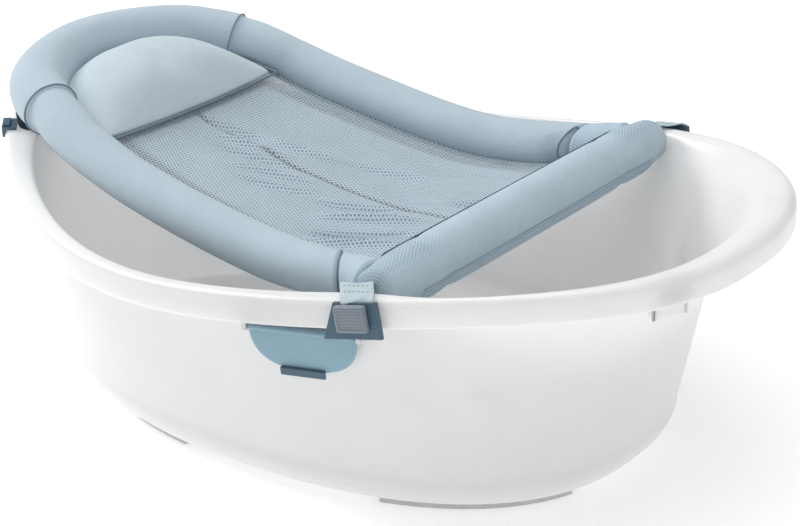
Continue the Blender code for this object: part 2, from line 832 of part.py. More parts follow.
def build_foot_clip(name, side):
    """A plate that hangs outside the rim's skirt, with a square grip block on it."""
    frame = rim_frame(FOOT_CLIP_X, side)
    ribbon(f"strap_{name}", FOOT_STRAP_PROFILE, STRAP_WIDTH, "webbing", frame, -side * STRAP_SKEW)
    bottom = CLIP_TOP - PLATE_HEIGHT
    outline = [
        (-side * PLATE_TOP[0], CLIP_TOP),
        (-side * PLATE_TOP[1], CLIP_TOP),
        (-side * PLATE_BOTTOM[1], bottom),
        (-side * PLATE_BOTTOM[0], bottom),
    ]
    # the outline's X goes along the rim and its Y goes up
    facing = Matrix(((0, 0, 1, 0), (1, 0, 0, 0), (0, 1, 0, 0), (0, 0, 0, 1)))
    plate_place = Matrix.Translation((CLIP_STANDOFF + PLATE_T / 2, 0, 0)) @ facing
    plate = prism(
        f"clip_plate_{name}", outline, PLATE_T, "dark_plastic", frame @ plate_place
    )
    bevel(plate, 0.0012)
    pad_place = Matrix.Translation(
        (
            CLIP_STANDOFF + PLATE_T + GAP + CLIP_PAD_SIZE[0] / 2,
            -side * CLIP_PAD_SHIFT,
            CLIP_TOP - 0.001 - CLIP_PAD_SIZE[2] / 2,
        )
    )
    pad_mesh = box_mesh(f"clip_pad_{name}", CLIP_PAD_SIZE)
    pad = add_object(f"clip_pad_{name}", pad_mesh, "clip_pad", frame @ pad_place)
    bevel(pad, 0.0016)


def build_clips():
    for side, word in ((-1, "front"), (1, "rear")):
        build_foot_clip(f"foot_{word}", side)
        build_head_clip(f"head_{word}", side)


clear_scene()
PARTS = new_collection("baby_bathtub")
CUTTERS = new_collection("cutters")
MATS = make_materials()

build_tub()
build_drain_plug()
build_foot_pads()
build_flap()
build_hoop()
build_foot_bar()
build_net()
build_pillow()
build_clips()
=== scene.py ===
"""The look of the baby bathtub: its moulded tub, padded bath sling, mesh seat, straps and clips."""

import math

import bmesh
import bpy
import numpy as np
from mathutils import Matrix, Vector
from mathutils.bvhtree import BVHTree


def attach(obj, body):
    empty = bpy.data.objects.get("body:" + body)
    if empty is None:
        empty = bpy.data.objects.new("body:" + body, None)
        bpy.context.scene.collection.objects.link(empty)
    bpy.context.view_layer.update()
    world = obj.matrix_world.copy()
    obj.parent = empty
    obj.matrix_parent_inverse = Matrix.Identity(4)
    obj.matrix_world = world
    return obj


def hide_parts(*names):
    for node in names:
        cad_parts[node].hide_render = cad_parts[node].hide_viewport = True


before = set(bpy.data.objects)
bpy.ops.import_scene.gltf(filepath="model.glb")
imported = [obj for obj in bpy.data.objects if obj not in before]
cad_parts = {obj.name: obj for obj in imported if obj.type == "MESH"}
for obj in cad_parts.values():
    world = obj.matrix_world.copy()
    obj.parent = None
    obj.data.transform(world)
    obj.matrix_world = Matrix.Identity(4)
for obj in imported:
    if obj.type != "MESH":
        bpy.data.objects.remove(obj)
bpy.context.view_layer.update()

# --- dimensions shared with the CAD model, in metres ----------------------------------------------

TUB_HALF_LENGTH = 0.395
TUB_HALF_WIDTH = 0.2677
HEAD_EXPONENT = 1.96
FOOT_EXPONENT = 2.38
WALL = 0.003
RIM_MID_Z = 0.1997
RIM_TILT = 0.0517
RIM_SADDLE = 0.0503
RIM_HEAD_KICK = -0.0541
RIM_SIDE = 0.012
RIM_HEAD = 0.0407
RIM_FOOT = 0.0524
RIM_DROP = 0.0062
SKIRT = 0.020
KNEE_Z = 0.040
KNEE_INSET_SIDE = 0.0384
KNEE_INSET_HEAD = 0.0230
KNEE_INSET_FOOT = 0.0485
BASE_RUN = 0.016
FLOOR_Z = 0.010
DRAIN_X = 0.150
DRAIN_R = 0.014

HOOP_HALF = (
    (0.152, -0.203, 0.215),
    (0.012, -0.177, 0.204),
    (-0.148, -0.163, 0.229),
    (-0.250, -0.144, 0.258),
    (-0.319, -0.102, 0.2715),
    (-0.353, 0.000, 0.2760),
)
HEAD_SEAM_X = -0.270
BAR_X = 0.165
BAR_Z = 0.220
BAR_HALF = 0.217
FOOT_CLIP_X = 0.167
HEAD_CLIP_X = -0.350
CLIP_TOP = 0.006
CLIP_STANDOFF = 0.0042
PLATE_T = 0.004
CLIP_PAD = (0.007, 0.0270, 0.0225)
CLIP_PAD_SHIFT = 0.0015
FLAP_X = 0.108
FLAP_HALF = 0.0485
FLAP_DEPTH = 0.0385
FLAP_PITCH = math.radians(3.5)
FLAP_HINGE_DROP = 0.0345
FLAP_LEAN = math.radians(-9.0)
BARREL_R = 0.0032

FILLET_DEGREES = (50.0, 68.0)
CREASE = ((0.20, 40.0), (0.55, 49.0), (0.75, 58.0), (0.95, 65.0))
CREASE_DEPTH = 0.0034
CREASE_WIDTH = 2.6
CORNER_X = 0.1120
SEAM_SLANT = 0.71
RING_STEP = 0.005
SEAM_R = 0.0008

TAU = 2 * math.pi


# --- materials ------------------------------------------------------------------------------------


class Shader:
    """A node material that is built a node at a time."""

    def __init__(self, name):
        self.material = bpy.data.materials.new(name)
        self.material.use_nodes = True
        self.tree = self.material.node_tree
        self.surface = self.tree.nodes["Principled BSDF"]

    def add(self, kind, inputs=None, output=0, **settings):
        node = self.tree.nodes.new(kind)
        for key, value in settings.items():
            setattr(node, key, value)
        for key, value in (inputs or {}).items():
            self.feed(node.inputs[key], value)
        return node.outputs[output]

    def feed(self, socket, value):
        if isinstance(value, bpy.types.NodeSocket):
            self.tree.links.new(value, socket)
        else:
            socket.default_value = value

    def set(self, **values):
        for key, value in values.items():
            self.feed(self.surface.inputs[key.replace("_", " ")], value)

    def maths(self, operation, a, b=0.0):
        return self.add("ShaderNodeMath", {0: a, 1: b}, operation=operation)

    def noise(self, vector, scale, detail=2.0, roughness=0.5):
        inputs = {"Vector": vector, "Scale": scale, "Detail": detail, "Roughness": roughness}
        return self.add("ShaderNodeTexNoise", inputs)

    def ramp(self, value, low, high, to_low=0.0, to_high=1.0):
        inputs = {0: value, 1: low, 2: high, 3: to_low, 4: to_high}
        return self.add("ShaderNodeMapRange", inputs, interpolation_type="SMOOTHSTEP")

    def blend(self, share, a, b):
        node = self.tree.nodes.new("ShaderNodeMix")
        node.data_type = "RGBA"
        for index, value in ((0, share), (6, a), (7, b)):
            self.feed(node.inputs[index], value)
        return node.outputs[2]

    def bump(self, height, strength, distance, normal=None):
        inputs = {"Height": height, "Strength": strength, "Distance": distance}
        if normal is not None:
            inputs["Normal"] = normal
        return self.add("ShaderNodeBump", inputs)

    def tones(self, value, low, high, colour, dark, light):
        """A colour that goes from its dark to its light gain as the value rises."""
        return self.blend(self.ramp(value, low, high), rgba(colour, dark), rgba(colour, light))

    def parts(self, vector):
        node = self.tree.nodes.new("ShaderNodeSeparateXYZ")
        self.tree.links.new(vector, node.inputs[0])
        return node.outputs

    def wave(self, value, pitch):
        return self.maths("SINE", self.maths("MULTIPLY", value, TAU / pitch))

    def place(self):
        return self.add("ShaderNodeTexCoord", output=3)

    def uv(self):
        return self.add("ShaderNodeTexCoord", output=2)


def circle(count, start=0.0):
    """Cosine and sine of count angles evenly round a circle."""
    angles = [TAU * (i + start) / count for i in range(count)]
    return [(math.cos(a), math.sin(a)) for a in angles]


def signed_power(value, power):
    return math.copysign(abs(value) ** power, value)


def rgba(colour, gain=1.0):
    return (*(min(1.0, c * gain) for c in colour), 1.0)


def plastic(name, colour, roughness, grain=0.25, grain_scale=1400.0, wear=0.06, coat=0.0, glow=0.0):
    """Moulded plastic: fine grain, faint flow marks and slightly glossier rubbed patches."""
    s = Shader(name)
    where = s.place()
    cloud = s.noise(where, 14.0, 3.0)
    fine = s.noise(where, grain_scale, 2.0)
    scuff = s.ramp(s.noise(where, 60.0, 6.0, 0.7), 0.56, 0.74)
    tint = s.tones(cloud, 0.3, 0.7, colour, 1.0 - wear, 1.0 + wear * 0.5)
    s.set(Base_Color=s.blend(s.maths("MULTIPLY", scuff, 0.18), tint, rgba(colour, 1.08)))
    base = s.ramp(cloud, 0.3, 0.7, roughness - 0.04, roughness + 0.05)
    s.set(Roughness=s.maths("SUBTRACT", base, s.maths("MULTIPLY", scuff, 0.07)))
    flow = s.bump(cloud, 0.05, 0.002)
    s.set(Normal=s.bump(fine, grain, 0.00012, flow))
    s.set(Coat_Weight=coat, Coat_Roughness=0.25)
    if glow:
        s.surface.subsurface_method = "RANDOM_WALK"
        s.set(Subsurface_Weight=glow, Subsurface_Radius=(1.0, 1.0, 1.0), Subsurface_Scale=0.020)
    return s.material


def knit(name, colour, pitch=0.0011, melange=0.10, depth=0.00025, sheen=0.25):
    """Fine knitted fabric: rows of loops from the cloth's own UVs in metres, with mixed yarn."""
    s = Shader(name)
    u, v = s.parts(s.uv())[:2]
    wale = s.wave(u, pitch)
    shift = s.maths("MULTIPLY", wale, 0.9)
    row = s.maths("MULTIPLY", v, TAU / pitch * 0.8)
    course = s.maths("SINE", s.maths("ADD", row, shift))
    loops = s.maths("ADD", s.maths("MULTIPLY", wale, 0.5), s.maths("MULTIPLY", course, 0.5))
    where = s.place()
    yarn = s.noise(where, 900.0, 3.0, 0.7)
    patch = s.noise(where, 22.0, 3.0)
    tint = s.tones(yarn, 0.35, 0.65, colour, 1.0 - melange * 1.6, 1.0 + melange)
    soft = s.tones(patch, 0.3, 0.7, colour, 0.94, 1.04)
    mixed = s.blend(0.55, tint, soft)
    # painted shade: the hollows between the knit's loops are painted darker
    deep = s.ramp(loops, -0.9, 0.1)
    s.set(Base_Color=s.blend(deep, s.blend(0.5, mixed, rgba(colour, 0.72)), mixed))
    s.set(Roughness=s.ramp(yarn, 0.3, 0.7, 0.82, 0.95))
    s.set(Sheen_Weight=sheen, Sheen_Roughness=0.45, Specular_IOR_Level=0.25)
    fold = s.bump(s.noise(where, 70.0, 2.0), 0.18, 0.0016)
    s.set(Normal=s.bump(loops, 0.45, depth, fold))
    return s.material


def webbing(name, colour):
    """Woven tape: close ribs across it and fainter lines along it."""
    s = Shader(name)
    u, v = s.parts(s.uv())[:2]
    ribs = s.wave(v, 0.0017)
    warp = s.wave(u, 0.0013)
    weave = s.maths("ADD", s.maths("MULTIPLY", ribs, 0.7), s.maths("MULTIPLY", warp, 0.3))
    where = s.place()
    fuzz = s.noise(where, 1100.0, 2.0, 0.7)
    worn = s.noise(where, 45.0, 3.0)
    tint = s.tones(fuzz, 0.35, 0.65, colour, 0.88, 1.08)
    # painted shade: the hollows of the weave are painted darker
    shade = s.blend(s.ramp(weave, -0.8, 0.2), rgba(colour, 0.66), tint)
    s.set(Base_Color=s.blend(s.ramp(worn, 0.55, 0.8, 0.0, 0.3), shade, rgba(colour, 1.15)))
    s.set(Roughness=s.ramp(fuzz, 0.3, 0.7, 0.72, 0.9))
    s.set(Sheen_Weight=0.15, Sheen_Roughness=0.5)
    s.set(Normal=s.bump(weave, 0.6, 0.00035))
    return s.material


def mesh_cloth(name, colour, dark, pitch=0.0037, behind=0.22, hole=0.30):
    """Open warp-knit mesh: holes in a hexagon layout, stretched wider where openness is high. The
    holes are painted dark as painted shade, darker where they open wider.
    """
    s = Shader(name)
    cloth = s.uv()
    wobble = s.add("ShaderNodeTexNoise", {"Vector": cloth, "Scale": 90.0, "Detail": 1.0}, output=1)
    drift = s.add("ShaderNodeVectorMath", {0: wobble, 3: 0.0009}, operation="SCALE")
    moved = s.add("ShaderNodeVectorMath", {0: cloth, 1: drift}, operation="ADD")
    step = Vector((pitch, pitch * math.sqrt(3), 1.0))
    nearest = None
    for offset in ((0.0, 0.0, 0.0), (step.x / 2, step.y / 2, 0.0)):
        at = s.add("ShaderNodeVectorMath", {0: moved, 1: offset}, operation="ADD")
        scaled = s.add("ShaderNodeVectorMath", {0: at, 1: step}, operation="DIVIDE")
        part = s.add("ShaderNodeVectorMath", {0: scaled}, operation="FRACTION")
        centred = s.add("ShaderNodeVectorMath", {0: part, 1: (0.5, 0.5, 0.5)}, operation="SUBTRACT")
        squash = (1.0, math.sqrt(3), 0.0)
        flat = s.add("ShaderNodeVectorMath", {0: centred, 1: squash}, operation="MULTIPLY")
        far = s.add("ShaderNodeVectorMath", {0: flat}, output=1, operation="LENGTH")
        nearest = far if nearest is None else s.maths("MINIMUM", nearest, far)
    openness = s.add("ShaderNodeAttribute", output=2, attribute_name="openness")
    radius = s.maths("ADD", s.maths("MULTIPLY", openness, 0.15), hole)
    yarn = s.ramp(s.maths("SUBTRACT", nearest, radius), -0.05, 0.05)
    where = s.place()
    fuzz = s.noise(where, 1500.0, 2.0, 0.7)
    patch = s.noise(where, 26.0, 3.0)
    tint = s.tones(fuzz, 0.35, 0.65, colour, 0.86, 1.12)
    soft = s.tones(patch, 0.3, 0.7, colour, 0.92, 1.06)
    strand = s.blend(0.5, tint, soft)
    # painted shade: the holes get a dark colour, darker the wider they open, for the shade seen
    # through them
    painted_hole_shade = s.tones(openness, 0.1, 0.55, dark, 1.9, 0.7)
    s.set(Base_Color=s.blend(yarn, painted_hole_shade, strand))
    s.set(Alpha=s.maths("MAXIMUM", yarn, 1.0 - behind))
    s.set(Roughness=s.ramp(fuzz, 0.3, 0.7, 0.7, 0.9))
    s.set(Sheen_Weight=0.12, Sheen_Roughness=0.5)
    s.set(Normal=s.bump(s.ramp(nearest, 0.2, 0.6), 0.5, 0.0006))
    return s.material


def rubber(name, colour):
    s = Shader(name)
    where = s.place()
    fine = s.noise(where, 1800.0, 3.0, 0.7)
    dust = s.ramp(s.noise(where, 35.0, 4.0), 0.5, 0.75)
    tint = s.tones(fine, 0.35, 0.65, colour, 0.9, 1.08)
    s.set(Base_Color=s.blend(s.maths("MULTIPLY", dust, 0.25), tint, rgba(colour, 1.3)))
    s.set(Roughness=s.ramp(fine, 0.3, 0.7, 0.68, 0.86))
    s.set(Normal=s.bump(fine, 0.35, 0.0002))
    return s.material


def drawn_steel(name):
    s = Shader(name)
    where = s.place()
    stretched = s.add("ShaderNodeMapping", {"Vector": where, "Scale": (30.0, 900.0, 900.0)})
    lines = s.noise(stretched, 3.0, 3.0)
    s.set(Base_Color=s.blend(lines, (0.45, 0.46, 0.48, 1.0), (0.68, 0.69, 0.71, 1.0)))
    s.set(Metallic=1.0, Roughness=s.ramp(lines, 0.2, 0.8, 0.24, 0.42))
    s.set(Normal=s.bump(lines, 0.15, 0.00008))
    return s.material


def open_foam(name):
    s = Shader(name)
    where = s.place()
    cells = s.add("ShaderNodeTexVoronoi", {"Vector": where, "Scale": 900.0})
    # painted shade: the foam's pores are painted darker than its cell walls
    wall, painted_pore_shade = (0.72, 0.72, 0.69, 1.0), (0.42, 0.42, 0.40, 1.0)
    s.set(Base_Color=s.blend(s.ramp(cells, 0.1, 0.6), painted_pore_shade, wall))
    s.set(Roughness=s.ramp(cells, 0.1, 0.6, 0.85, 0.98))
    s.set(Normal=s.bump(cells, 0.7, 0.0006))
    return s.material


def ribbed_pad(name, colour):
    """The grip block's face: a fine square grid pressed into matte plastic."""
    s = Shader(name)
    across, upward = (s.ramp(s.wave(v, 0.0026), -0.95, -0.4) for v in s.parts(s.uv())[:2])
    lines = s.maths("MULTIPLY", across, upward)
    where = s.place()
    fine = s.noise(where, 1500.0, 2.0)
    tint = s.tones(fine, 0.35, 0.65, colour, 0.92, 1.07)
    # painted shade: the grid's pressed grooves are painted darker
    s.set(Base_Color=s.blend(lines, rgba(colour, 0.72), tint))
    s.set(Roughness=s.ramp(fine, 0.3, 0.7, 0.48, 0.62))
    s.set(Normal=s.bump(lines, 0.5, 0.0003, s.bump(fine, 0.2, 0.0001)))
    return s.material


# each material's maker, name and the maker's other arguments
MATERIALS = (
    (plastic, "tub_plastic", (0.90, 0.90, 0.90), 0.36, 0.10, 1600.0, 0.02, 0.2, 0.7),
    (plastic, "white_plastic", (0.74, 0.74, 0.74), 0.42),
    (plastic, "blue_plastic", (0.235, 0.385, 0.475), 0.42, 0.4, 1100.0, 0.08),
    (plastic, "dark_plastic", (0.060, 0.120, 0.170), 0.46, 0.4, 1100.0, 0.10),
    (rubber, "grip_rubber", (0.60, 0.61, 0.62)),
    (rubber, "plug_rubber", (0.235, 0.385, 0.475)),
    (drawn_steel, "steel"),
    (open_foam, "foam"),
    (knit, "sling_fabric", (0.485, 0.588, 0.664)),
    (knit, "pillow_fabric", (0.570, 0.660, 0.720), 0.0012, 0.08),
    # each mesh cloth's second colour is the painted shade seen in its holes
    (mesh_cloth, "bar_fabric", (0.475, 0.590, 0.670), (0.190, 0.260, 0.330), 0.0033, 0.0),
    (knit, "piping", (0.200, 0.275, 0.345), 0.0009, 0.10),
    (knit, "soft_piping", (0.30, 0.40, 0.48), 0.0009, 0.08),
    (knit, "thread", (0.30, 0.39, 0.47), 0.0006, 0.06),
    (mesh_cloth, "net_fabric", (0.475, 0.575, 0.640), (0.085, 0.125, 0.170)),
    (mesh_cloth, "corner_mesh", (0.500, 0.600, 0.675), (0.190, 0.260, 0.330), 0.0033, 0.0),
    (webbing, "webbing", (0.58, 0.70, 0.75)),
    # the head straps' near-black colour is partly painted shade, taking in the shadow under the
    # strap
    (webbing, "dark_webbing", (0.030, 0.062, 0.085)),
    (ribbed_pad, "clip_pad", (0.245, 0.290, 0.335)),
)
MATS = {name: maker(name, *rest) for maker, name, *rest in MATERIALS}


# --- helpers --------------------------------------------------------------------------------------


def add_piece(name, mesh, material, body, replaced=(), matrix=None):
    obj = bpy.data.objects.new(name, mesh)
    bpy.context.scene.collection.objects.link(obj)
    obj.data.materials.clear()
    obj.data.materials.append(MATS[material])
    if matrix is not None:
        obj.matrix_world = matrix
    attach(obj, body)
    if replaced:
        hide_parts(*replaced)
    return obj


def sling_piece(mesh, material, replaced=()):
    return add_piece(mesh.name, mesh, material, "sling", replaced)


def smooth_mesh(name, bm):
    mesh = bpy.data.meshes.new(name)
    bm.to_mesh(mesh)
    bm.free()
    mesh.shade_smooth()
    return mesh


def mesh_of(name, bm, degrees=50.0):
    bmesh.ops.recalc_face_normals(bm, faces=bm.faces)
    mesh = smooth_mesh(name, bm)
    mesh.set_sharp_from_angle(angle=math.radians(degrees))
    return mesh


def bridge(bm, rows):
    """Faces between closed rows of points."""
    count = len(rows[0])
    for a, b in zip(rows, rows[1:]):
        for i in range(count):
            j = (i + 1) % count
            bm.faces.new((a[i], a[j], b[j], b[i]))


def catmull(points, steps):
    padded = [points[0] * 2 - points[1], *points, points[-1] * 2 - points[-2]]
    path = []
    for a, b, c, d in zip(padded, padded[1:], padded[2:], padded[3:]):
        for i in range(steps):
            t = i / steps
            even = 2 * b + (c - a) * t
            square = (2 * a - 5 * b + 4 * c - d) * (t * t)
            cube = (3 * b - a - 3 * c + d) * t**3
            path.append((even + square + cube) * 0.5)
    path.append(points[-1])
    return path


def resample(path, step):
    """The same path with points an even distance apart."""
    lengths = [0.0]
    for a, b in zip(path, path[1:]):
        lengths.append(lengths[-1] + (b - a).length)
    count = max(2, round(lengths[-1] / step))
    out = []
    k = 0
    for i in range(count + 1):
        want = lengths[-1] * i / count
        while k < len(path) - 2 and lengths[k + 1] < want:
            k += 1
        span = lengths[k + 1] - lengths[k]
        out.append(path[k].lerp(path[k + 1], (want - lengths[k]) / span if span else 0.0))
    return out


def directions(path, closed=False):
    out = []
    last = len(path) - 1
    for i in range(len(path)):
        if closed:
            out.append((path[(i + 1) % len(path)] - path[i - 1]).normalized())
        else:
            out.append((path[min(i + 1, last)] - path[max(i - 1, 0)]).normalized())
    return out


def loft(name, rings, closed_ends=True):
    """A tube through rings of points, with UVs in metres: U round it and V along it."""
    bm = bmesh.new()
    layer = bm.loops.layers.uv.new("UVMap")
    rows = [[bm.verts.new(p) for p in ring] for ring in rings]
    count = len(rings[0])
    round_it = [0.0]
    widest = max(rings, key=lambda r: (r[0] - r[count // 2]).length)
    for i in range(count):
        round_it.append(round_it[-1] + (widest[(i + 1) % count] - widest[i]).length)
    along = [0.0]
    for a, b in zip(rings, rings[1:]):
        step = sum((q - p).length for p, q in zip(a, b)) / count
        along.append(along[-1] + step)
    for k, (a, b) in enumerate(zip(rows, rows[1:])):
        for i in range(count):
            j = (i + 1) % count
            face = bm.faces.new((a[i], a[j], b[j], b[i]))
            corners = ((i, k), (i + 1, k), (i + 1, k + 1), (i, k + 1))
            for loop, (x, y) in zip(face.loops, corners):
                loop[layer].uv = (round_it[x], along[y])
    if closed_ends:
        for row in (rows[0], rows[-1]):
            middle = bm.verts.new(sum((v.co for v in row), Vector()) / count)
            for i in range(count):
                face = bm.faces.new((row[i], row[(i + 1) % count], middle))
                for loop in face.loops:
                    offset = loop.vert.co - middle.co
                    loop[layer].uv = (offset.x + offset.y, offset.z)
    bmesh.ops.recalc_face_normals(bm, faces=bm.faces)
    return smooth_mesh(name, bm)


def cord_mesh(name, path, radius, closed=False, sides=8):
    """A thin round cord along a path, for piping and thread."""
    rings = []
    normal = None
    for point, along in zip(path, directions(path, closed)):
        if normal is None:
            normal = along.orthogonal().normalized()
        normal = (normal - along * normal.dot(along)).normalized()
        other = along.cross(normal)
        rings.append([point + (normal * c + other * s) * radius for c, s in circle(sides)])
    if closed:
        # the frame has turned a little on the way round, so the last ring joins the nearest match
        first = rings[0]
        shift = min(range(sides), key=lambda k: (rings[-1][k] - first[0]).length)
        rings.append(first[-shift:] + first[:-shift] if shift else list(first))
    return loft(name, rings, not closed)


def stitch_mesh(name, path, length=0.0024, gap=0.0014, radius=0.00035):
    """Short thread stitches along a path, all in one mesh."""
    step = 0.0005
    line = resample(path, step)
    per = max(1, round((length + gap) / step))
    run = max(2, round(length / step))
    bm = bmesh.new()
    layer = bm.loops.layers.uv.new("UVMap")
    for start in range(0, len(line) - run, per):
        a, b = line[start], line[start + run]
        along = (b - a).normalized()
        side = along.orthogonal().normalized()
        other = along.cross(side)
        rows = []
        for t, r in ((0.0, 0.3), (0.2, 0.9), (0.8, 0.9), (1.0, 0.3)):
            centre = a.lerp(b, t)
            reach = radius * r
            ring = [centre + (side * c + other * s) * reach for c, s in circle(6)]
            rows.append([bm.verts.new(p) for p in ring])
        bridge(bm, rows)
        bm.faces.new(rows[0])
        bm.faces.new(rows[-1])
    for face in bm.faces:
        for loop in face.loops:
            loop[layer].uv = (loop.vert.co.x + loop.vert.co.z, loop.vert.co.y)
    return mesh_of(name, bm)


def ribbon_mesh(name, centres, wide, half_width, thickness):
    """A flat band through centres, wide being its width's direction. Its corners are rounded."""
    rings = []
    for centre, along in zip(centres, directions(centres)):
        across = (wide - along * wide.dot(along)).normalized()
        up = along.cross(across).normalized()
        ring = []
        for c, s in circle(16, 0.5):
            x = signed_power(c, 0.25) * half_width
            z = signed_power(s, 0.6) * thickness / 2
            ring.append(centre + across * x + up * z)
        rings.append(ring)
    return loft(name, rings)


# --- tub shape ------------------------------------------------------------------------------------


def rim_z(x):
    u = x / TUB_HALF_LENGTH
    return RIM_MID_Z + RIM_TILT * u + RIM_SADDLE * u * u + RIM_HEAD_KICK * u**3


def inset_oval(angle, side, head, foot):
    middle = (head - foot) / 2
    reach = TUB_HALF_LENGTH - (head + foot) / 2
    c = math.cos(angle)
    power = 2 / (HEAD_EXPONENT if c < 0 else FOOT_EXPONENT)
    x = middle + reach * signed_power(c, power)
    return x, (TUB_HALF_WIDTH - side) * signed_power(math.sin(angle), power)


def wall_insets(level):
    flare = 0.75 * level + 0.25 * level**4
    side = RIM_SIDE + KNEE_INSET_SIDE * (1 - level)
    head = RIM_HEAD + KNEE_INSET_HEAD * (1 - level)
    foot = RIM_FOOT + KNEE_INSET_FOOT * (1 - flare)
    return side, head, foot


def wall_point(angle, level):
    x, y = inset_oval(angle, *wall_insets(level))
    return Vector((x, y, KNEE_Z + (rim_z(x) - KNEE_Z) * level))


def rim_point(angle, across, drop):
    share = 1 - across
    x, y = inset_oval(angle, RIM_SIDE * share, RIM_HEAD * share, RIM_FOOT * share)
    return Vector((x, y, rim_z(x) - drop))


def floor_point(angle, turn):
    run = BASE_RUN * (1 - math.sin(turn * math.pi / 2))
    side, head, foot = wall_insets(0.0)
    x, y = inset_oval(angle, side + run, head + run, foot + run)
    rise = (KNEE_Z - FLOOR_Z) * (1 - math.cos(turn * math.pi / 2))
    return Vector((x, y, FLOOR_Z + rise))


def smoothstep(low, high, value):
    t = min(1.0, max(0.0, (value - low) / (high - low)))
    return t * t * (3 - 2 * t)


def degrees_from_foot(angle):
    return abs(math.degrees(math.atan2(math.sin(angle), math.cos(angle))))


def creased(point, angle, level):
    """The wall pushed out a little along the soft crease beside the end wall."""
    middle = float(np.interp(level, [c[0] for c in CREASE], [c[1] for c in CREASE]))
    off = (degrees_from_foot(angle) - middle) / CREASE_WIDTH
    depth = CREASE_DEPTH * math.exp(-off * off) * smoothstep(0.1, 0.4, level)
    out = Vector((point.x, point.y, 0)).normalized()
    return point + out * depth * (1 - smoothstep(0.9, 1.0, level))


def tub_profile(angle):
    """One line from the floor's edge up the wall, over the rim and down the skirt."""
    line = [floor_point(angle, turn) for turn in (0.0, 0.25, 0.5, 0.75)]
    levels = (0.0, 0.2, 0.4, 0.5, 0.65, 0.8, 0.92, 0.975)
    wall = [creased(wall_point(angle, level), angle, level) for level in levels]
    rim = [rim_point(angle, across, drop) for across, drop in ((0.10, 0.0), (0.5, 0.0005))]
    # the foot's end wall flares into the lip on one long curve instead of turning at the rim
    start = wall[3]
    corner = wall_point(angle, 0.99)
    stop = rim_point(angle, 0.82, 0.0024)
    share = 1 - smoothstep(*FILLET_DEGREES, degrees_from_foot(angle))
    bent = wall[4:] + rim
    for i, point in enumerate(bent):
        t = (i + 1) / (len(bent) + 1)
        curve = start * (1 - t) ** 2 + corner * (2 * t * (1 - t)) + stop * t * t
        bent[i] = point.lerp(curve, share)
    line += wall[:4] + bent
    line.append(stop)
    line.append(rim_point(angle, 0.96, RIM_DROP))
    for drop in (RIM_DROP + 0.005, RIM_DROP + 0.012, RIM_DROP + SKIRT):
        line.append(rim_point(angle, 1.0, drop))
    return catmull(line, 4)


def soften_edges(obj, width):
    edge = obj.modifiers.new("edge", "BEVEL")
    edge.width = width
    edge.segments = 2
    return edge


def build_tub():
    around = 200
    bm = bmesh.new()
    # angles are spaced by arc length, so that the squarer foot end is as smooth as the sides
    fine = [TAU * i / 2000 for i in range(2001)]
    outline = [Vector(inset_oval(a, 0, 0, 0)) for a in fine]
    run = [0.0]
    for a, b in zip(outline, outline[1:]):
        run.append(run[-1] + (b - a).length)
    angles = np.interp(np.linspace(0, run[-1], around, endpoint=False), run, fine)
    columns = [tub_profile(float(a)) for a in angles]
    rows = [[bm.verts.new(column[k]) for column in columns] for k in range(len(columns[0]))]
    bridge(bm, rows)
    # the floor: rings that shrink to the drain hole
    inner = rows[0]
    drain = []
    for vert in inner:
        away = Vector((vert.co.x - DRAIN_X, vert.co.y, 0)).normalized()
        drain.append(Vector((DRAIN_X, 0, FLOOR_Z)) + away * DRAIN_R)
    for share in (0.25, 0.5, 0.75, 0.93, 1.0):
        ring = [bm.verts.new(rows[0][i].co.lerp(drain[i], share)) for i in range(around)]
        for i in range(around):
            j = (i + 1) % around
            bm.faces.new((inner[i], ring[i], ring[j], inner[j]))
        inner = ring
    bmesh.ops.recalc_face_normals(bm, faces=bm.faces)
    floor_face = min(bm.faces, key=lambda f: f.calc_center_median().z)
    if floor_face.normal.z < 0:
        bmesh.ops.reverse_faces(bm, faces=bm.faces)
    mesh = smooth_mesh("tub", bm)
    tub = add_piece("tub", mesh, "tub_plastic", "tub", ["tub_shell"])
    wall = tub.modifiers.new("wall", "SOLIDIFY")
    wall.thickness = WALL
    wall.offset = -1.0
    wall.use_even_offset = True
    edge = soften_edges(tub, 0.0009)
    edge.limit_method = "ANGLE"
    edge.angle_limit = math.radians(60)


# each web's degrees from the foot, drop below the skirt and half thickness
LIP_WEBS = (
    (23.0, 0.013, 0.0012),
    (16.0, 0.015, 0.0012),
    (5.0, 0.005, 0.0012),
    (34.0, -0.003, 0.0010),
    (46.0, -0.003, 0.0010),
)
TAB_DROP = 0.013


def hanging_web(bm, angle, drop, half_thickness):
    """An upright web between the end wall and the skirt, hanging drop below the skirt."""
    out = rim_point(angle, 1.0, RIM_DROP)
    middle = Vector((DRAIN_X, 0, 0))
    ahead = Vector((out.x - middle.x, out.y, 0)).normalized()
    side = Vector((-ahead.y, ahead.x, 0)) * half_thickness
    down = Vector((0, 0, -1))
    points = [
        out - ahead * 0.0070 + down * 0.006,
        out - ahead * 0.0060 + down * 0.010,
        out - ahead * 0.0060 + down * (SKIRT + drop),
        out - ahead * 0.0120 + down * (SKIRT + drop),
        out - ahead * 0.0220 + down * 0.022,
    ]
    near = [bm.verts.new(p - side) for p in points]
    far = [bm.verts.new(p + side) for p in points]
    bm.faces.new(near)
    bm.faces.new(far)
    bridge(bm, (near, far))


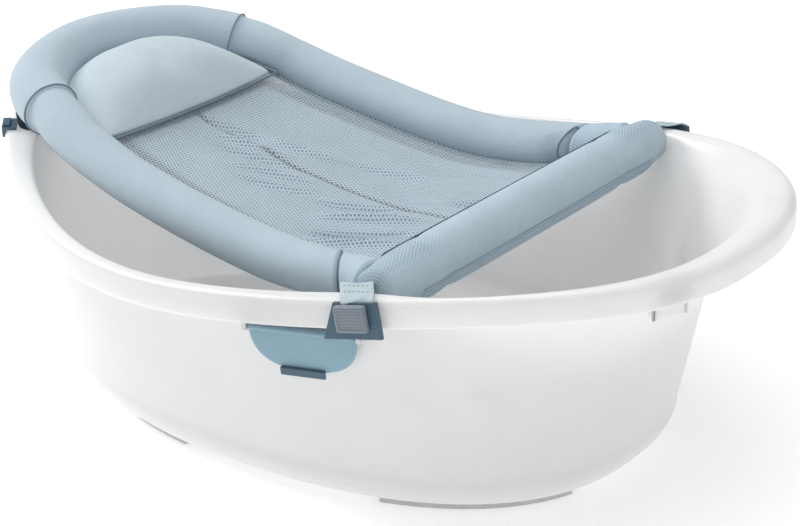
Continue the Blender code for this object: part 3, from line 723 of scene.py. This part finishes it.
def build_lip_ribs():
    """Webs under the foot lip; the ones beside the carry grip hang a little below the skirt."""
    bm = bmesh.new()
    low = SKIRT + TAB_DROP
    section = ((0.0062, 0.006), (0.0062, low), (0.0082, low), (0.0082, 0.006))
    for side in (-1, 1):
        for degrees, drop, thickness in LIP_WEBS:
            hanging_web(bm, side * math.radians(degrees), drop, thickness)
        rows = []
        for i in range(9):
            angle = side * math.radians(16.0 + 7.0 * i / 8)
            out = rim_point(angle, 1.0, RIM_DROP)
            ahead = Vector((math.cos(angle), math.sin(angle), 0))
            row = []
            for back, z in section:
                row.append(bm.verts.new(out - ahead * back - Vector((0, 0, z))))
            rows.append(row)
        bridge(bm, rows)
        bm.faces.new(rows[0])
        bm.faces.new(rows[-1])
    mesh = mesh_of("lip_ribs", bm)
    soften_edges(add_piece(mesh.name, mesh, "tub_plastic", "tub"), 0.0007)


# --- padded sling ---------------------------------------------------------------------------------


def mirrored(points):
    return [Vector((p.x, -p.y, p.z)) for p in points]


HOOP_FRONT = [Vector(p) for p in HOOP_HALF]
HOOP = catmull(HOOP_FRONT + mirrored(reversed(HOOP_FRONT[:-1])), 120)
NEAR_HALF = [p for p in HOOP if p.y <= 0]
SLEEVE_SIDES = 36
SLEEVE_TILT = math.radians(40.0)


def out_and_up(along):
    """The directions away from the tub's middle and upwards, across a sleeve."""
    out = along.cross(Vector((0, 0, 1))).normalized() * -1
    return out, along.cross(out).normalized()


def sleeve_rings(path, section):
    """Rings across a path; section(share) gives half axes and tilt of the oval there."""
    rings = []
    for i, (centre, along) in enumerate(zip(path, directions(path))):
        out, up = out_and_up(along)
        a, b, tilt = section(i / (len(path) - 1))
        ring = []
        for c, s in circle(SLEEVE_SIDES):
            x = a * c
            z = b * s
            ring.append(
                centre
                + out * (x * math.cos(tilt) - z * math.sin(tilt))
                + up * (x * math.sin(tilt) + z * math.cos(tilt))
            )
        rings.append(ring)
    return rings


def domed(rings, at_start, depth, steps=4):
    """Adds rings that close one end of a tube with a soft dome."""
    ring = rings[0] if at_start else rings[-1]
    behind = rings[1] if at_start else rings[-2]
    centre = sum(ring, Vector()) / len(ring)
    away = (centre - sum(behind, Vector()) / len(behind)).normalized()
    extra = []
    for i in range(1, steps + 1):
        t = math.pi / 2 * i / (steps + 0.6)
        out = away * depth * math.sin(t)
        extra.append([centre + (p - centre) * math.cos(t) + out for p in ring])
    return list(reversed(extra)) + rings if at_start else rings + extra


def swell(obj, pinned, cap, pressure=4.0, relax_times=3):
    """Cloth simulation with air pressure; then no point is more than cap from where it began."""
    group = obj.vertex_groups.new(name="pinned")
    group.add(pinned, 1.0, "REPLACE")
    cloth = obj.modifiers.new("cloth", "CLOTH")
    settings = cloth.settings
    settings.quality = 6
    settings.mass = 0.3
    settings.tension_stiffness = 12
    settings.compression_stiffness = 12
    settings.shear_stiffness = 6
    settings.bending_stiffness = 0.4
    settings.use_pressure = True
    settings.uniform_pressure_force = pressure
    settings.shrink_min = -0.012
    settings.vertex_group_mass = "pinned"
    settings.effector_weights.gravity = 0.0
    cloth.collision_settings.use_collision = False
    cloth.collision_settings.use_self_collision = False
    SIMULATED.append((obj, cap, relax_times))


SIMULATED = []
SIMULATED_FRAMES = 20


def run_simulations():
    if not SIMULATED:
        return
    scene = bpy.context.scene
    scene.frame_start = 1
    scene.frame_end = SIMULATED_FRAMES
    for obj, _, _ in SIMULATED:
        cloth = obj.modifiers["cloth"]
        cloth.point_cache.frame_start = 1
        cloth.point_cache.frame_end = SIMULATED_FRAMES
    for step in range(1, SIMULATED_FRAMES + 1):
        scene.frame_set(step)
    depsgraph = bpy.context.evaluated_depsgraph_get()
    for obj, cap, relax_times in SIMULATED:
        shown = obj.evaluated_get(depsgraph)
        moved = np.zeros(len(obj.data.vertices) * 3)
        shown.data.vertices.foreach_get("co", moved)
        before = np.zeros(len(obj.data.vertices) * 3)
        obj.data.vertices.foreach_get("co", before)
        shift = (moved - before).reshape(-1, 3)
        size = np.linalg.norm(shift, axis=1, keepdims=True)
        shift *= np.minimum(1.0, cap / np.maximum(size, 1e-9))
        obj.data.vertices.foreach_set("co", before + shift.ravel())
        obj.modifiers.remove(obj.modifiers["cloth"])
        fixed = {v.index for v in obj.data.vertices if v.groups}
        bm = bmesh.new()
        bm.from_mesh(obj.data)
        bm.verts.ensure_lookup_table()
        relax(bm, {bm.verts[i] for i in fixed}, relax_times)
        bm.to_mesh(obj.data)
        bm.free()
    scene.frame_set(1)


def refine(obj):
    subdivision = obj.modifiers.new("smooth", "SUBSURF")
    subdivision.levels = 1
    subdivision.render_levels = 1


def points_of(rows):
    """The points of the given rows of a sleeve."""
    return [row * SLEEVE_SIDES + i for row in rows for i in range(SLEEVE_SIDES)]


def pucker(rings, seam_rows, amount, waves, reach=0.016):
    """Small gathers in the cloth beside a seam, fading away from it."""
    count = len(rings[0])
    centres = [sum(ring, Vector()) / count for ring in rings]
    for k, ring in enumerate(rings):
        far = min((centres[k] - centres[s]).length for s in seam_rows)
        fade = math.exp(-far / reach) * (1 - math.exp(-far / 0.002))
        if fade < 0.02:
            continue
        for i in range(count):
            theta = TAU * i / count
            wave = math.cos(waves * theta + 1.7 * math.sin(2 * theta) + far * 60)
            out = (ring[i] - centres[k]).normalized()
            ring[i] = ring[i] + out * (amount * fade * wave)


def slant_rings(rings, path, amounts):
    """Turns rings about the upright, so that their outer side is nearer the foot bar."""
    for ring, centre, amount in zip(rings, path, amounts):
        for p in ring:
            p.x += amount * (abs(p.y) - abs(centre.y))


def part_of_hoop(x_start, x_stop, front=True):
    """The hoop's points between two places along the tub, on one side."""
    path = resample([p for p in NEAR_HALF if x_stop <= p.x <= x_start], RING_STEP)
    return path if front else mirrored(path)


def build_rail(word):
    front = word == "front"
    path = part_of_hoop(CORNER_X, HEAD_SEAM_X - 0.007, front)
    tilt = SLEEVE_TILT if front else math.pi - SLEEVE_TILT

    def section(share):
        to_seam = smoothstep(0.72, 1.0, share)
        from_bar = 1 - smoothstep(0.0, 0.10, share)
        a = 0.0248 - 0.0004 * to_seam - 0.0012 * from_bar
        b = 0.0218 + 0.0022 * to_seam - 0.0006 * from_bar
        return a, b, tilt

    rings = sleeve_rings(path, section)
    reach = len(path) * RING_STEP
    slants = [
        SEAM_SLANT * (1 - smoothstep(0.0, 0.045, reach * i / len(path))) for i in range(len(path))
    ]
    slant_rings(rings, path, slants)
    pucker(rings, [0, len(rings) - 2], 0.0012, 13)
    mesh = loft(f"rail_{word}_sleeve", rings)
    nodes = [f"rail_cover_{word}", f"rail_foam_{word}"]
    obj = sling_piece(mesh, "sling_fabric", replaced=nodes)
    swell(obj, points_of((0, len(rings) - 2, len(rings) - 1)), 0.0016)
    return obj


def build_corner(word):
    """The short mesh-covered length of the hoop between the rail's end and the foot bar."""
    front = word == "front"
    path = part_of_hoop(BAR_X - 0.008, CORNER_X + 0.0006, front)
    tilt = SLEEVE_TILT if front else math.pi - SLEEVE_TILT

    def section(share):
        grow = 1 - share
        return 0.0234 + 0.0012 * grow, 0.0208 + 0.0026 * grow, tilt

    rings = sleeve_rings(path, section)
    last = len(path) - 1
    slant_rings(rings, path, [SEAM_SLANT * smoothstep(0.0, 1.0, i / last) for i in range(last + 1)])
    pucker(rings, [len(rings) - 1], 0.0009, 11, 0.012)
    mesh = loft(f"corner_{word}_sleeve", rings)
    obj = sling_piece(mesh, "corner_mesh")
    swell(obj, points_of((0, len(rings) - 1)), 0.0012)
    return obj


def build_head_arch():
    whole = [p for p in HOOP if p.x <= HEAD_SEAM_X + 0.0015]
    path = resample(whole, RING_STEP)

    def section(share):
        seam = min(share, 1 - share)
        fit = 1 - smoothstep(0.0, 0.06, seam)
        return 0.0270 - 0.0006 * fit, 0.0268 - 0.0004 * fit, 0.0

    rings = sleeve_rings(path, section)
    pucker(rings, [0, len(rings) - 1], 0.0014, 15, 0.02)
    mesh = loft("head_sleeve", rings)
    obj = sling_piece(mesh, "sling_fabric", replaced=["head_cover", "head_foam"])
    swell(obj, points_of((0, len(rings) - 1)), 0.0016)
    return obj


def build_bar():
    half = BAR_HALF + 0.002
    path = resample([Vector((BAR_X, -half, BAR_Z)), Vector((BAR_X, half, BAR_Z))], RING_STEP)

    def section(share):
        edge = smoothstep(0.0, 0.08, min(share, 1 - share))
        a = 0.0222 + 0.0031 * edge
        b = 0.0205 + 0.0031 * edge
        return a, b, math.radians(-35.0)

    rings = sleeve_rings(path, section)
    pucker(rings, [0, len(rings) - 1], 0.0012, 11, 0.02)
    rings = domed(domed(rings, True, 0.007), False, 0.007)
    mesh = loft("foot_bar_sleeve", rings)
    obj = sling_piece(mesh, "bar_fabric", replaced=["foot_bar_cover", "foot_bar_foam"])
    # the seat's mesh runs over the bar's ends, so its holes fade out along and round the bar
    openness = mesh.attributes.new("openness", "FLOAT", "POINT")
    for vert, value in zip(mesh.vertices, openness.data):
        away = abs(vert.co.y)
        turn = math.degrees(math.atan2(vert.co.z - BAR_Z, vert.co.x - BAR_X))
        on_top = smoothstep(20.0, 60.0, turn) if turn > -90.0 else 1.0
        value.value = -2.6 + 2.9 * smoothstep(0.10, 0.165, away) * on_top
    last = len(rings) - 1
    held = [*range(5), *range(last - 4, last + 1)]
    swell(obj, points_of(held), 0.0016)
    return obj


# rays at a sleeve start this far from its middle, outside it
RAY_START = 0.06


def surface_tree(obj):
    return BVHTree.FromObject(obj, bpy.context.evaluated_depsgraph_get())


def ring_on(tree, centre, along, count=72, lift=0.0003):
    """Points where a plane across a sleeve meets its surface."""
    side = along.orthogonal().normalized()
    other = along.cross(side)
    ring = []
    for c, s in circle(count):
        ray = side * c + other * s
        hit = tree.ray_cast(centre + ray * RAY_START, -ray)[0]
        if hit is not None:
            ring.append(hit + ray * lift)
    return ring


def line_on(tree, path, out_share, up_share, lift=0.0002):
    """A line along a sleeve, on the side of it that the two shares point to."""
    line = []
    for point, along in zip(path, directions(path)):
        out, up = out_and_up(along)
        ray = (out * out_share + up * up_share).normalized()
        hit = tree.ray_cast(point + ray * RAY_START, -ray)[0]
        if hit is not None:
            line.append(hit + ray * lift)
    return line


def build_seams(rails, arch, bar):
    for word, rail in rails.items():
        front = word == "front"
        path = part_of_hoop(CORNER_X, HEAD_SEAM_X, front)
        tree = surface_tree(rail)
        across = Vector((1.0, SEAM_SLANT if front else -SEAM_SLANT, 0.0)).normalized()
        ring = ring_on(tree, path[0].lerp(path[1], 0.25), across)
        sling_piece(cord_mesh(f"corner_seam_{word}", ring, SEAM_R, True), "piping")
        tree = surface_tree(arch)
        inward = directions(path)[-1]
        ring = ring_on(tree, path[-1] + inward * 0.003, inward)
        sling_piece(cord_mesh(f"head_seam_{word}", ring, SEAM_R, True), "piping")
        side = 1.0 if front else -1.0
        tree = surface_tree(rail)
        line = line_on(tree, path[3:-3], 0.75 * side, -0.65 * side)
        sling_piece(stitch_mesh(f"rail_stitch_{word}", line), "thread")
    tree = surface_tree(bar)
    ends = BAR_HALF - 0.030
    ys = np.linspace(-ends, ends, 90)
    rows = []
    for degrees in (-10.0, -18.0, -26.0, -34.0, -42.0, -50.0):
        angle = math.radians(degrees)
        ray = Vector((math.cos(angle), 0, math.sin(angle)))
        starts = [Vector((BAR_X, y, BAR_Z)) + ray * RAY_START for y in ys]
        hits = [tree.ray_cast(start, -ray)[0] for start in starts]
        rows.append([(hit, ray) for hit in hits])
    line = [hit + ray * 0.0002 for hit, ray in rows[0]]
    sling_piece(cord_mesh("bar_piping", line, SEAM_R), "soft_piping")
    rings = []
    for k in range(len(ys)):
        outer = [row[k][0] + row[k][1] * 0.0009 for row in rows[1:]]
        inner = [row[k][0] - row[k][1] * 0.0006 for row in reversed(rows[1:])]
        rings.append(outer + inner)
    sling_piece(loft("bar_hem", rings), "bar_fabric")
    line = [hit + ray * 0.0011 for hit, ray in rows[2]]
    sling_piece(stitch_mesh("bar_hem_stitch", line), "thread")


# --- mesh seat ------------------------------------------------------------------------------------


def hoop_at(x):
    """Half width and height of the hoop where it crosses a given x."""
    for a, b in zip(NEAR_HALF, NEAR_HALF[1:]):
        if b.x <= x <= a.x:
            t = (x - a.x) / (b.x - a.x)
            return -(a.y + (b.y - a.y) * t), a.z + (b.z - a.z) * t
    return 0.0, NEAR_HALF[-1].z


NET_LINE = (
    (-0.315, 0.252),
    (-0.235, 0.2385),
    (-0.157, 0.225),
    (-0.085, 0.213),
    (-0.026, 0.2025),
    (0.031, 0.195),
    (0.065, 0.193),
    (0.095, 0.196),
    (0.118, 0.203),
    (0.133, 0.214),
    (0.1385, 0.225),
    (0.1420, 0.233),
    (0.1458, 0.2375),
)
NET_EDGE_DROP = 0.012
FOLD_GAIN = 2.3
FOLDS = (
    (0.006, -0.098, 0.080, -0.052, 0.0042, -0.0048),
    (0.010, -0.116, 0.090, -0.080, 0.0050, 0.0026),
    (-0.011, -0.066, 0.070, -0.022, 0.0046, 0.0032),
    (-0.034, -0.043, 0.040, -0.004, 0.0044, -0.0026),
    (-0.201, -0.001, -0.140, 0.018, 0.0042, -0.0020),
    (-0.177, -0.015, -0.109, 0.007, 0.0042, 0.0022),
    (-0.160, -0.030, -0.084, -0.002, 0.0040, -0.0022),
    (-0.130, -0.046, -0.060, -0.017, 0.0040, 0.0022),
    (-0.110, -0.062, -0.035, -0.030, 0.0042, -0.0020),
    (-0.138, 0.020, -0.070, 0.038, 0.0044, 0.0020),
    (-0.060, 0.045, 0.010, 0.070, 0.0050, -0.0020),
    (0.070, 0.030, 0.115, 0.070, 0.0055, -0.0030),
)


def net_folds(x, y):
    """Soft wrinkles, each a long narrow ridge or hollow between two ends."""
    total = 0.0
    for x0, y0, x1, y1, width, height in FOLDS:
        reach = math.hypot(x1 - x0, y1 - y0) / 2
        c = (x1 - x0) / (2 * reach)
        s = (y1 - y0) / (2 * reach)
        dx = x - (x0 + x1) / 2
        dy = y - (y0 + y1) / 2
        long_way = (dx * c + dy * s) / reach
        short_way = (-dx * s + dy * c) / width
        total += FOLD_GAIN * height * math.exp(-(long_way**4) - short_way**2)
    return total


def mesh_openness(from_side, from_foot, y, on_bar):
    """How far the holes are stretched: wide beside the sewn edges, shut on most of the bar."""
    # the net's material paints the holes darker the wider they open, so these bands are also
    # painted shade beside the rails, along the middle seam and at the foot
    near = 0.028 if y < 0 else 0.020
    band = 1 - smoothstep(near + 0.006, near + 0.020, from_side)
    foot_band = 1 - smoothstep(0.006, 0.016, abs(from_foot - 0.004))
    seam = math.exp(-((y / 0.0024) ** 2)) * smoothstep(0.0, 0.01, from_foot)
    wide = max(0.62 * band, 0.8 * foot_band, seam)
    plain = on_bar * (1 - smoothstep(0.10, 0.17, abs(y)))
    return wide - 2.0 * plain


def build_net():
    rows = 150
    columns = 110
    line = catmull([Vector((x, 0, z)) for x, z in reversed(NET_LINE)], 40)
    length = sum((b - a).length for a, b in zip(line, line[1:]))
    line = resample(line, length / rows)
    bm = bmesh.new()
    uv_layer = bm.loops.layers.uv.new("UVMap")
    open_layer = bm.verts.layers.float.new("openness")
    grid = []
    along = 0.0
    for i, centre in enumerate(line):
        if i:
            along += (centre - line[i - 1]).length
        half, hoop_z = hoop_at(centre.x)
        reach = half - 0.0185 if centre.x > HEAD_SEAM_X else half - 0.024
        on_bar = smoothstep(0.118, 0.134, centre.x)
        level = centre.z * on_bar + (hoop_z - NET_EDGE_DROP) * (1 - on_bar)
        low = min(centre.z, level)
        row = []
        for j in range(columns + 1):
            v = -1 + 2 * j / columns
            side = abs(v)
            crease = 0.0020 * math.exp(-((v * reach / 0.0030) ** 2)) * (1 - on_bar)
            y = v * reach
            z = level + (low - level) * (1 - side**2.2) - crease
            away = min(1.0, (1 - side) * 7) * (1 - smoothstep(0.085, 0.12, centre.x))
            vert = bm.verts.new((centre.x, y, z + net_folds(centre.x, y) * away))
            from_foot = 0.128 - centre.x
            vert[open_layer] = mesh_openness((1 - side) * reach, from_foot, y, on_bar)
            row.append((vert, (y, along)))
        grid.append(row)
    for a, b in zip(grid, grid[1:]):
        for j in range(columns):
            corners = (a[j], a[j + 1], b[j + 1], b[j])
            face = bm.faces.new([c[0] for c in corners])
            for loop, (_, uv) in zip(face.loops, corners):
                loop[uv_layer].uv = uv
    bmesh.ops.recalc_face_normals(bm, faces=bm.faces)
    if sum(f.normal.z for f in bm.faces) < 0:
        bmesh.ops.reverse_faces(bm, faces=bm.faces)
    area = sum(f.calc_area() for f in bm.faces)
    mesh = smooth_mesh("net_seat", bm)
    return sling_piece(mesh, "net_fabric", ["net"]), area


# --- pillow ---------------------------------------------------------------------------------------

PILLOW_FOOT_X = -0.2125
PILLOW_HALF = 0.1260


def pillow_outline(count):
    """The half-moon's edge in X and Y, with a straight side towards the foot."""
    arc = []
    for i in range(count * 2 // 3 + 1):
        angle = math.pi * i / (count * 2 // 3)
        c, s = math.cos(angle), math.sin(angle)
        y = signed_power(c, 0.78) * PILLOW_HALF
        arc.append(Vector((PILLOW_FOOT_X - 0.116 * s**0.80, y, 0)))
    straight = []
    steps = count - len(arc)
    for i in range(1, steps + 1):
        t = i / (steps + 1)
        y = -PILLOW_HALF + 2 * PILLOW_HALF * t
        straight.append(Vector((PILLOW_FOOT_X + 0.004 * math.sin(math.pi * t), y, 0)))
    return arc + straight


EVERY_AXIS = {"use_axis_x": True, "use_axis_y": True, "use_axis_z": True}


def relax(bm, fixed, times):
    """Evens out the points that aren't fixed."""
    free = [v for v in bm.verts if v not in fixed]
    for _ in range(times):
        bmesh.ops.smooth_vert(bm, verts=free, factor=0.5, **EVERY_AXIS)


def build_pillow():
    count = 96
    rings = 14
    outline = pillow_outline(count)
    centre = Vector((PILLOW_FOOT_X - 0.058, 0, 0))

    def base_z(x):
        return 0.2410 + (PILLOW_FOOT_X - x) * 0.205

    round_arms = []
    for p in outline:
        arm = p - centre
        turn = math.atan2(arm.y / PILLOW_HALF, arm.x / 0.058)
        round_arms.append(Vector((0.058 * math.cos(turn), PILLOW_HALF * math.sin(turn), 0)))
    bm = bmesh.new()
    layer = bm.loops.layers.uv.new("UVMap")
    skins = []
    border = [bm.verts.new((p.x, p.y, base_z(p.x))) for p in outline]
    for crown in (0.0400, -0.0060):
        rows = [border]
        for k in range(1, rings):
            share = 1 - k / rings
            swell_here = (1 - share**1.8) ** 0.78
            row = []
            for i, p in enumerate(outline):
                smooth_arm = round_arms[i].lerp(p - centre, share**1.5)
                at = centre + smooth_arm * share
                row.append(bm.verts.new((at.x, at.y, base_z(at.x) + crown * swell_here)))
            rows.append(row)
        tip = bm.verts.new((centre.x, 0, base_z(centre.x) + crown))
        skins.append((rows, tip))
    for rows, tip in skins:
        bridge(bm, rows)
        for i in range(count):
            bm.faces.new((rows[-1][i], rows[-1][(i + 1) % count], tip))
    bmesh.ops.recalc_face_normals(bm, faces=bm.faces)
    for face in bm.faces:
        for loop in face.loops:
            loop[layer].uv = (loop.vert.co.y, loop.vert.co.x)
    relax(bm, set(border), 14)
    middle = {v for rows, tip in skins for v in (*sum(rows[7:], []), tip)}
    relax(bm, set(bm.verts) - middle, 30)
    mesh = smooth_mesh("head_pillow", bm)
    obj = sling_piece(mesh, "pillow_fabric", ["pillow"])
    swell(obj, list(range(count)), 0.0035, 3.0, 16)
    path = [Vector((p.x, p.y, base_z(p.x))) for p in outline]
    return obj, path


# --- straps, clips and flap -----------------------------------------------------------------------


def frame_of(centre, *axes):
    return Matrix.Translation(centre) @ Matrix(axes).transposed().to_4x4()


def rim_frame(x_wanted, side):
    best = None
    for i in range(721):
        angle = math.pi * i / 720
        x, _ = inset_oval(angle, 0, 0, 0)
        if best is None or abs(x - x_wanted) < best[0]:
            best = (abs(x - x_wanted), angle)
    angle = best[1]
    step = 0.002
    before = rim_point(angle - step, 1.0, RIM_DROP)
    after = rim_point(angle + step, 1.0, RIM_DROP)
    centre = rim_point(angle, 1.0, RIM_DROP)
    along = (after - before).normalized()
    if side < 0:
        centre.y *= -1
        along = Vector((-along.x, along.y, -along.z))
    away = Vector((along.y, -along.x, 0)).normalized()
    return frame_of(centre, away, along, away.cross(along))


def strap_path(frame_at, profile, skew, shift=0.0):
    """A strap's centres and its width's direction from a profile in the clip's frame."""
    knots = [Vector((x, skew * x + shift, z)) for x, z in profile]
    line = resample(catmull(knots, 10), 0.0015)
    centres = [frame_at @ p for p in line]
    return centres, (frame_at.to_3x3() @ Vector((0, 1, 0))).normalized()


def build_foot_strap(word, side):
    frame_at = rim_frame(FOOT_CLIP_X, side)
    skew = -side * 0.45
    profile = (
        (-0.0300, 0.0050),
        (-0.0245, 0.0094),
        (-0.0160, 0.0098),
        (-0.0080, 0.0086),
        (0.0000, 0.0078),
        (0.0058, 0.0060),
        (0.0070, 0.0010),
    )
    centres, wide = strap_path(frame_at, profile, skew, -side * 0.0040)
    mesh = ribbon_mesh(f"foot_{word}_strap", centres, wide, 0.0138, 0.0016)
    sling_piece(mesh, "webbing", [f"strap_foot_{word}"])
    for n, at in enumerate((0.34, 0.58)):
        k = round(at * (len(centres) - 1))
        up = (centres[k + 1] - centres[k]).cross(wide).normalized()
        up = up if up.z > 0 else -up
        row = [centres[k] + wide * y + up * 0.0010 for y in (-0.0118, 0.0118)]
        sling_piece(stitch_mesh(f"foot_{word}_strap_stitch_{n}", row), "thread")


def build_head_strap(word, side):
    frame_at = rim_frame(HEAD_CLIP_X, side)
    profile = (
        (-0.0135, 0.0345),
        (-0.0128, 0.0260),
        (-0.0132, 0.0120),
        (-0.0146, 0.0046),
        (-0.0190, 0.0018),
        (-0.0290, -0.0010),
        (-0.0345, -0.0034),
    )
    centres, wide = strap_path(frame_at, profile, 0.0)
    mesh = ribbon_mesh(f"head_{word}_strap", centres, wide, 0.0062, 0.0015)
    sling_piece(mesh, "dark_webbing", [f"strap_head_{word}"])


def rounded_block(name, size, radius, inset, sink):
    """A block with rounded edges and a shallow tray in its +X face; UVs in metres on that face."""
    bm = bmesh.new()
    bmesh.ops.create_cube(bm, size=1.0, matrix=Matrix.Diagonal((*size, 1.0)))
    edges = list(bm.edges)
    bmesh.ops.bevel(bm, geom=edges, offset=radius, segments=4, profile=0.5, affect="EDGES")
    face = max(bm.faces, key=lambda f: f.calc_center_median().x * 1000 + f.calc_area())
    bmesh.ops.inset_region(bm, faces=[face], thickness=inset, depth=0.0)
    face = max(bm.faces, key=lambda f: f.calc_area() if f.normal.x > 0.99 else 0.0)
    bmesh.ops.inset_region(bm, faces=[face], thickness=0.0004, depth=-sink)
    # the bevel lists its edges and faces in no fixed order, so they are put in one
    bm.verts.index_update()
    for parts in (bm.edges, bm.faces):
        order = sorted(parts, key=lambda part: sorted(v.index for v in part.verts))
        for i, part in enumerate(order):
            part.index = i
        parts.sort()
    layer = bm.loops.layers.uv.new("UVMap")
    for f in bm.faces:
        for loop in f.loops:
            loop[layer].uv = (loop.vert.co.y, loop.vert.co.z)
    return mesh_of(name, bm, 35)


def build_grip_block(word, side):
    frame_at = rim_frame(FOOT_CLIP_X, side)
    x = CLIP_STANDOFF + PLATE_T + 0.0003 + CLIP_PAD[0] / 2
    z = CLIP_TOP - 0.001 - CLIP_PAD[2] / 2
    place = frame_at @ Matrix.Translation((x, -side * CLIP_PAD_SHIFT, z))
    mesh = rounded_block(f"grip_{word}", CLIP_PAD, 0.0018, 0.0016, 0.0005)
    nodes = [f"clip_pad_foot_{word}"]
    add_piece(mesh.name, mesh, "clip_pad", f"clip_foot_{word}", nodes, place)


def outer_wall_near(x, z):
    best = None
    for i in range(181):
        angle = math.radians(-150 + 120 * i / 180)
        top = wall_point(angle, 1.0)
        point = wall_point(angle, (z - KNEE_Z) / (top.z - KNEE_Z))
        if best is None or abs(point.x - x) < abs(best.x - x):
            best = point
    return best


def flap_frame():
    z = rim_z(FLAP_X) - FLAP_HINGE_DROP
    left = outer_wall_near(FLAP_X - FLAP_HALF, z)
    right = outer_wall_near(FLAP_X + FLAP_HALF, z)
    middle = outer_wall_near(FLAP_X, z)
    along = Vector((left.x - right.x, left.y - right.y, 0)).normalized()
    away = Vector((-along.y, along.x, 0))
    along = along * math.cos(FLAP_PITCH) - Vector((0, 0, math.sin(FLAP_PITCH)))
    centre = middle + away * (WALL + BARREL_R + 0.0036)
    return frame_of(centre, along, away, along.cross(away))


def build_flap():
    """The half-moon flap with a pressed border, rolled on its hinge barrel."""
    steps = 64
    power = 2 / 2.6
    lean = Matrix.Rotation(FLAP_LEAN, 4, "X")
    half_t = 0.0015
    bm = bmesh.new()

    def outline(scale, out):
        points = []
        for i in range(steps + 1):
            angle = math.pi * i / steps
            c, s = math.cos(angle), math.sin(angle)
            x = FLAP_HALF * signed_power(c, power)
            z = -FLAP_DEPTH * s**power
            centre = Vector((0, 0, -FLAP_DEPTH * 0.42))
            p = Vector((x, 0, z))
            p = centre + (p - centre) * scale
            points.append(bm.verts.new((p.x, out, p.z)))
        return points

    loops = [
        outline(0.975, -half_t),
        outline(1.0, -half_t * 0.5),
        outline(1.0, half_t * 0.5),
        outline(0.975, half_t),
        outline(0.93, half_t + 0.0002),
    ]
    bridge(bm, loops)
    bm.faces.new(loops[0])
    bm.faces.new(loops[-1])
    plate = mesh_of("flap_plate", bm, 40)
    plate.transform(lean)
    body, slot = "side_flap", "blue_plastic"
    add_piece("flap", plate, slot, body, ["side_flap"], flap_frame())
    rings = []
    for k in range(25):
        x = -FLAP_HALF + 0.0005 + (2 * FLAP_HALF - 0.001) * k / 24
        radius = BARREL_R * (0.86 if k in (0, 24) else 1.0)
        rings.append([Vector((x, radius * c, radius * s)) for c, s in circle(24)])
    add_piece("flap_barrel", loft("flap_barrel", rings), slot, body, (), flap_frame())


# --- stage, light and camera ----------------------------------------------------------------------


FLOOR_GLOW = 0.34
SKY_GLOW = 0.46
LIGHT_AIM = Vector((0.0, 0.0, 0.15))
# each light's name, place, side in metres and watts
LIGHTS = (
    ("key", (-2.2, -0.55, 1.9), 1.1, 36.0),
    ("fill", (2.0, -1.0, 1.0), 1.4, 1.5),
    ("top", (-0.1, -0.1, 2.3), 2.0, 22.0),
)


def build_stage():
    bm = bmesh.new()
    bmesh.ops.create_grid(bm, x_segments=2, y_segments=2, size=9.0)
    floor = bpy.data.objects.new("floor", mesh_of("floor", bm))
    bpy.context.scene.collection.objects.link(floor)
    s = Shader("floor")
    where = s.place()
    cloud = s.noise(where, 3.0, 2.0)
    s.set(Base_Color=s.blend(cloud, (0.91, 0.91, 0.91, 1.0), (0.93, 0.93, 0.93, 1.0)))
    s.set(Roughness=0.9, Specular_IOR_Level=0.1)
    s.set(Emission_Color=(1.0, 1.0, 1.0, 1.0), Emission_Strength=FLOOR_GLOW)
    floor.data.materials.append(s.material)
    world = bpy.data.worlds.new("studio")
    world.use_nodes = True
    sky = world.node_tree.nodes["Background"]
    sky.inputs["Color"].default_value = (1.0, 1.0, 1.0, 1.0)
    sky.inputs["Strength"].default_value = SKY_GLOW
    bpy.context.scene.world = world
    for name, place, size, power in LIGHTS:
        light = bpy.data.lights.new(name, "AREA")
        light.shape = "SQUARE"
        light.size = size
        light.energy = power
        lamp = bpy.data.objects.new(name, light)
        bpy.context.scene.collection.objects.link(lamp)
        lamp.location = place
        lamp.rotation_euler = (LIGHT_AIM - Vector(place)).to_track_quat("-Z", "Y").to_euler()


def build_camera():
    azimuth = math.radians(35.526)
    elevation = math.radians(23.195)
    distance = 2.0116
    target = Vector((0.03105, 0.0, 0.13543))
    level = math.cos(elevation)
    ahead = Vector(
        (-math.sin(azimuth) * level, math.cos(azimuth) * level, -math.sin(elevation))
    )
    data = bpy.data.cameras.new("camera")
    data.lens = 97.42
    data.sensor_width = 36.0
    data.clip_start = 0.05
    data.clip_end = 50.0
    camera = bpy.data.objects.new("camera", data)
    bpy.context.scene.collection.objects.link(camera)
    camera.location = target - ahead * distance
    camera.rotation_euler = ahead.to_track_quat("-Z", "Y").to_euler()
    bpy.context.scene.camera = camera


# --- build ----------------------------------------------------------------------------------------

bpy.context.scene.view_settings.view_transform = "Standard"
bpy.context.scene.view_settings.look = "None"

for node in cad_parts.values():
    for held in node.material_slots:
        base = held.material.name.split(".")[0] if held.material else ""
        if base in MATS:
            held.material = MATS[base]

build_camera()
build_stage()
build_tub()
build_lip_ribs()
rails = {word: build_rail(word) for word in ("front", "rear")}
corners = [build_corner(word) for word in ("front", "rear")]
arch = build_head_arch()
bar = build_bar()
net, net_area = build_net()
pillow, pillow_edge = build_pillow()
for side, word in ((-1, "front"), (1, "rear")):
    build_foot_strap(word, side)
    build_head_strap(word, side)
    build_grip_block(word, side)
build_flap()
run_simulations()

build_seams(rails, arch, bar)
sling_piece(cord_mesh("pillow_seam", pillow_edge, 0.0013, True), "piping")
for piece in (*rails.values(), *corners, arch, bar, pillow):
    refine(piece)
